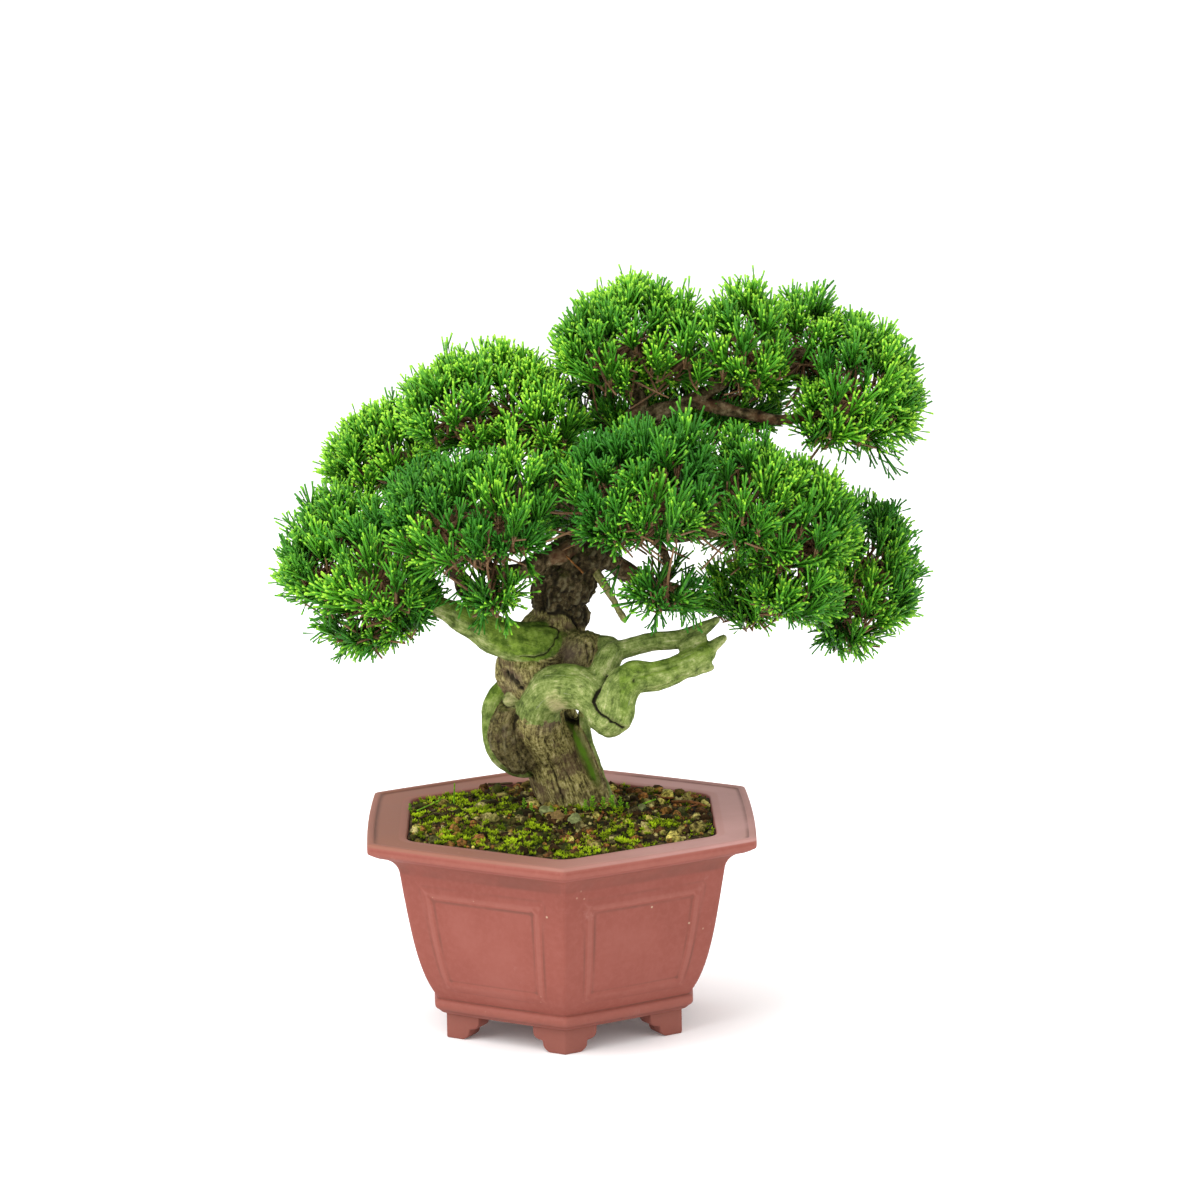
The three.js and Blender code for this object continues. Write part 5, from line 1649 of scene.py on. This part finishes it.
# %% Sprays of one cushion
AREA_PER_SPRAY = 46
PLUME_PULL = 0.3
INNER, OUTER, PAST = (0.5, 0.76), (0.76, 0.98), (0.06, 0.3)
INNER_SHARE, PAST_FROM, LONG_FROM = 0.42, 0.84, 0.9
SHORTEST = 9


def reaches_of(points, kinds, draw):
    """How deep each spray ends: many inside the foliage, most at its edge, a few past it."""
    reach = [draw.uniform(*(INNER if kind < INNER_SHARE else OUTER)) for kind in kinds]
    past = [draw.uniform(*PAST) if kind > PAST_FROM else 0 for kind in kinds]
    rugged = [0.2 * noise.noise(Vector(point) * 0.09) for point in points]
    return [far + rough + more for far, rough, more in zip(reach, rugged, past)]


def clamped(value):
    return min(max(value, 0), 1)


def sprays_of(lobe, root, plumes, draw):
    """The copies (template, matrix) of one cushion's sprays and a shade for each."""
    share = OPEN_TUFTS.get(lobe[:3], 1)
    centre, radii = np.array(lobe[:3], float), np.array(lobe[3:], float)
    ways = even_directions(round(share * area_of(lobe) / AREA_PER_SPRAY), draw)
    kinds = [draw.random() for _ in ways]
    tips, found = surface_points(centre, ways, reaches_of(centre + ways * radii, kinds, draw))
    own_depth = np.linalg.norm((tips - centre) / radii, axis=1)
    aims = aims_of(tips, ways, root)
    crowns = np.array([plume[0] for plume in plumes])
    copies, shades = [], []
    for tip, way, aim, kind, depth, whole in zip(tips, ways, aims, kinds, own_depth, found):
        # A gardener clears the underside, but not that of an open tuft.
        cleared = share == 1 and draw.random() > 1 + 0.8 * min(way[2] + 0.15, 0)
        if not whole or depth > 1.35 or cleared:
            continue
        nearest = np.linalg.norm(crowns - tip, axis=1) + [draw.uniform(0, 5) for _ in crowns]
        crown, end, middle, shade, stretch = plumes[nearest.argmin()]
        tip = tip + PLUME_PULL * (crown - tip)
        foot = end.lerp(middle, draw.uniform(0, 0.45))
        out = (Vector(tip) - foot) * stretch
        if out.length < SHORTEST or out.normalized().dot(Vector(aim)) < 0.35:
            foot = Vector(tip - aim * draw.uniform(14, 20))
            out = Vector(tip) - foot
        width = draw.uniform(0.85, 1.15)
        turn = out.to_track_quat("Z", "Y").to_matrix().to_4x4() @ rotated(draw.uniform(0, 6.28), "Z")
        size = Matrix.Diagonal((width, width, min(out.length / SPRAY_LENGTH, 1.45), 1))
        template = draw.choice(long_sprays if kind > LONG_FROM else full_sprays)
        copies.append((template, Matrix.Translation(foot) @ turn @ size))
        shades.append(clamped(shade + draw.uniform(-0.2, 0.2)))
    return copies, shades


# %% [markdown]
# The shoots are a full green, dark at their feet, yellow-green at the growing tips, with painted
# shade deep inside the pad. Tiny bumps stand for the scale leaves.

# %% Shoots, green and woody
leaf = Finish("juniper shoots", Roughness=0.42, Specular_IOR_Level=0.22)
here = leaf.place()
tip = leaf.attribute("tip")
apart = leaf.times(leaf.math("SUBTRACT", leaf.attribute("tone"), 0.5), 0.6)
own = leaf.math("ADD", leaf.attribute("shade"), apart, clamp=True)
scales = leaf.noise(here, 1300.0, 2.0, 0.5)
patch = leaf.noise(here, 42.0, 2.0)
deep = leaf.mix(own, (0.012, 0.08, 0.005), (0.028, 0.15, 0.007))
full = leaf.mix(own, (0.03, 0.19, 0.009), (0.115, 0.42, 0.015))
young = leaf.mix(own, (0.11, 0.45, 0.012), (0.42, 0.8, 0.04))
shoot = leaf.mix(leaf.between(tip, 0.0, 0.5), deep, full)
lively = leaf.between(leaf.math("ADD", own, patch), 0.6, 1.2)
growing = leaf.times(leaf.between(tip, 0.84, 0.97), lively)
shoot = leaf.mix(growing, shoot, young)
shoot = leaf.mix(leaf.times(leaf.between(scales, 0.35, 0.65), 0.35), shoot, deep)
# Painted shade deep inside the foliage.
shoot = leaf.over(shoot, leaf.attribute("inside"), 0.65, (0.006, 0.035, 0.004))
rust = leaf.mix(scales, (0.065, 0.034, 0.014), (0.3, 0.165, 0.08))
shoot = leaf.mix(leaf.between(leaf.attribute("woody"), 0.5, 0.95), shoot, rust)
leaf.surface(shoot, leaf.bump(scales, 0.5, 0.35))


# %% All pads
def pad_copies(name, root, lobes, draw):
    """All copies of one pad, its twigs among them, and a shade for each copy."""
    twig_bm = bmesh.new()
    _, woody, _ = spray_layers(twig_bm)
    copies, shades = [], []
    for lobe in lobes:
        plumes = twigs_of(twig_bm, lobe, root, draw)
        more, their_shades = sprays_of(lobe, root, plumes, draw)
        copies += more
        # Each pad's painted light and shadow shift the shades of its sprays.
        shades += [clamped(shade + PAINTED_PAD_LIGHT.get(name, 0)) for shade in their_shades]
    for foot, end in LONE_SPRAYS.get(name, []):
        out = Vector(end) - Vector(foot)
        turn = out.to_track_quat("Z", "Y").to_matrix().to_4x4()
        size = Matrix.Diagonal((1, 1, out.length / SPRAY_LENGTH, 1))
        copies.append((draw.choice(long_sprays), Matrix.Translation(foot) @ turn @ size))
        shades.append(draw.uniform(0.1, 0.4))
    for vertex in twig_bm.verts:
        vertex[woody] = 1
    return [*copies, (template_of(twig_bm, "twigs"), Matrix())], [*shades, 0.5]


spray_count = 0
for number, (name, (root, lobes)) in enumerate(PADS.items()):
    copies, shades = pad_copies(name, root, lobes, random.Random(900 + number))
    spray_count += len(copies) - 1
    pad_bm, columns = gather(copies, shade=shades)
    spots = np.array([vertex.co for vertex in pad_bm.verts])
    pad = piece_of(pad_bm, name.replace("foliage", "shoots"), leaf.material, "foliage", name)
    store(pad.data, "shade", columns["shade"])
    # Painted shade: how deep each point lies in the foliage.
    store(pad.data, "inside", np.clip((0.86 - depth_in_all(spots)) / 0.5, 0, 1))
print("sprays:", spray_count)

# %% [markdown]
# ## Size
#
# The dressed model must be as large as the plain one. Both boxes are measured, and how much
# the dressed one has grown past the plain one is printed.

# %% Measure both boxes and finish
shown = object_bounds()
boxes = {"cad": [list(corner) for corner in cad_bounds], "visual": [list(corner) for corner in shown]}
grown = [[round((v - c) * 1000, 1) for v, c in zip(b, a)] for a, b in zip(*boxes.values())]
print("grown by, in mm:", grown)
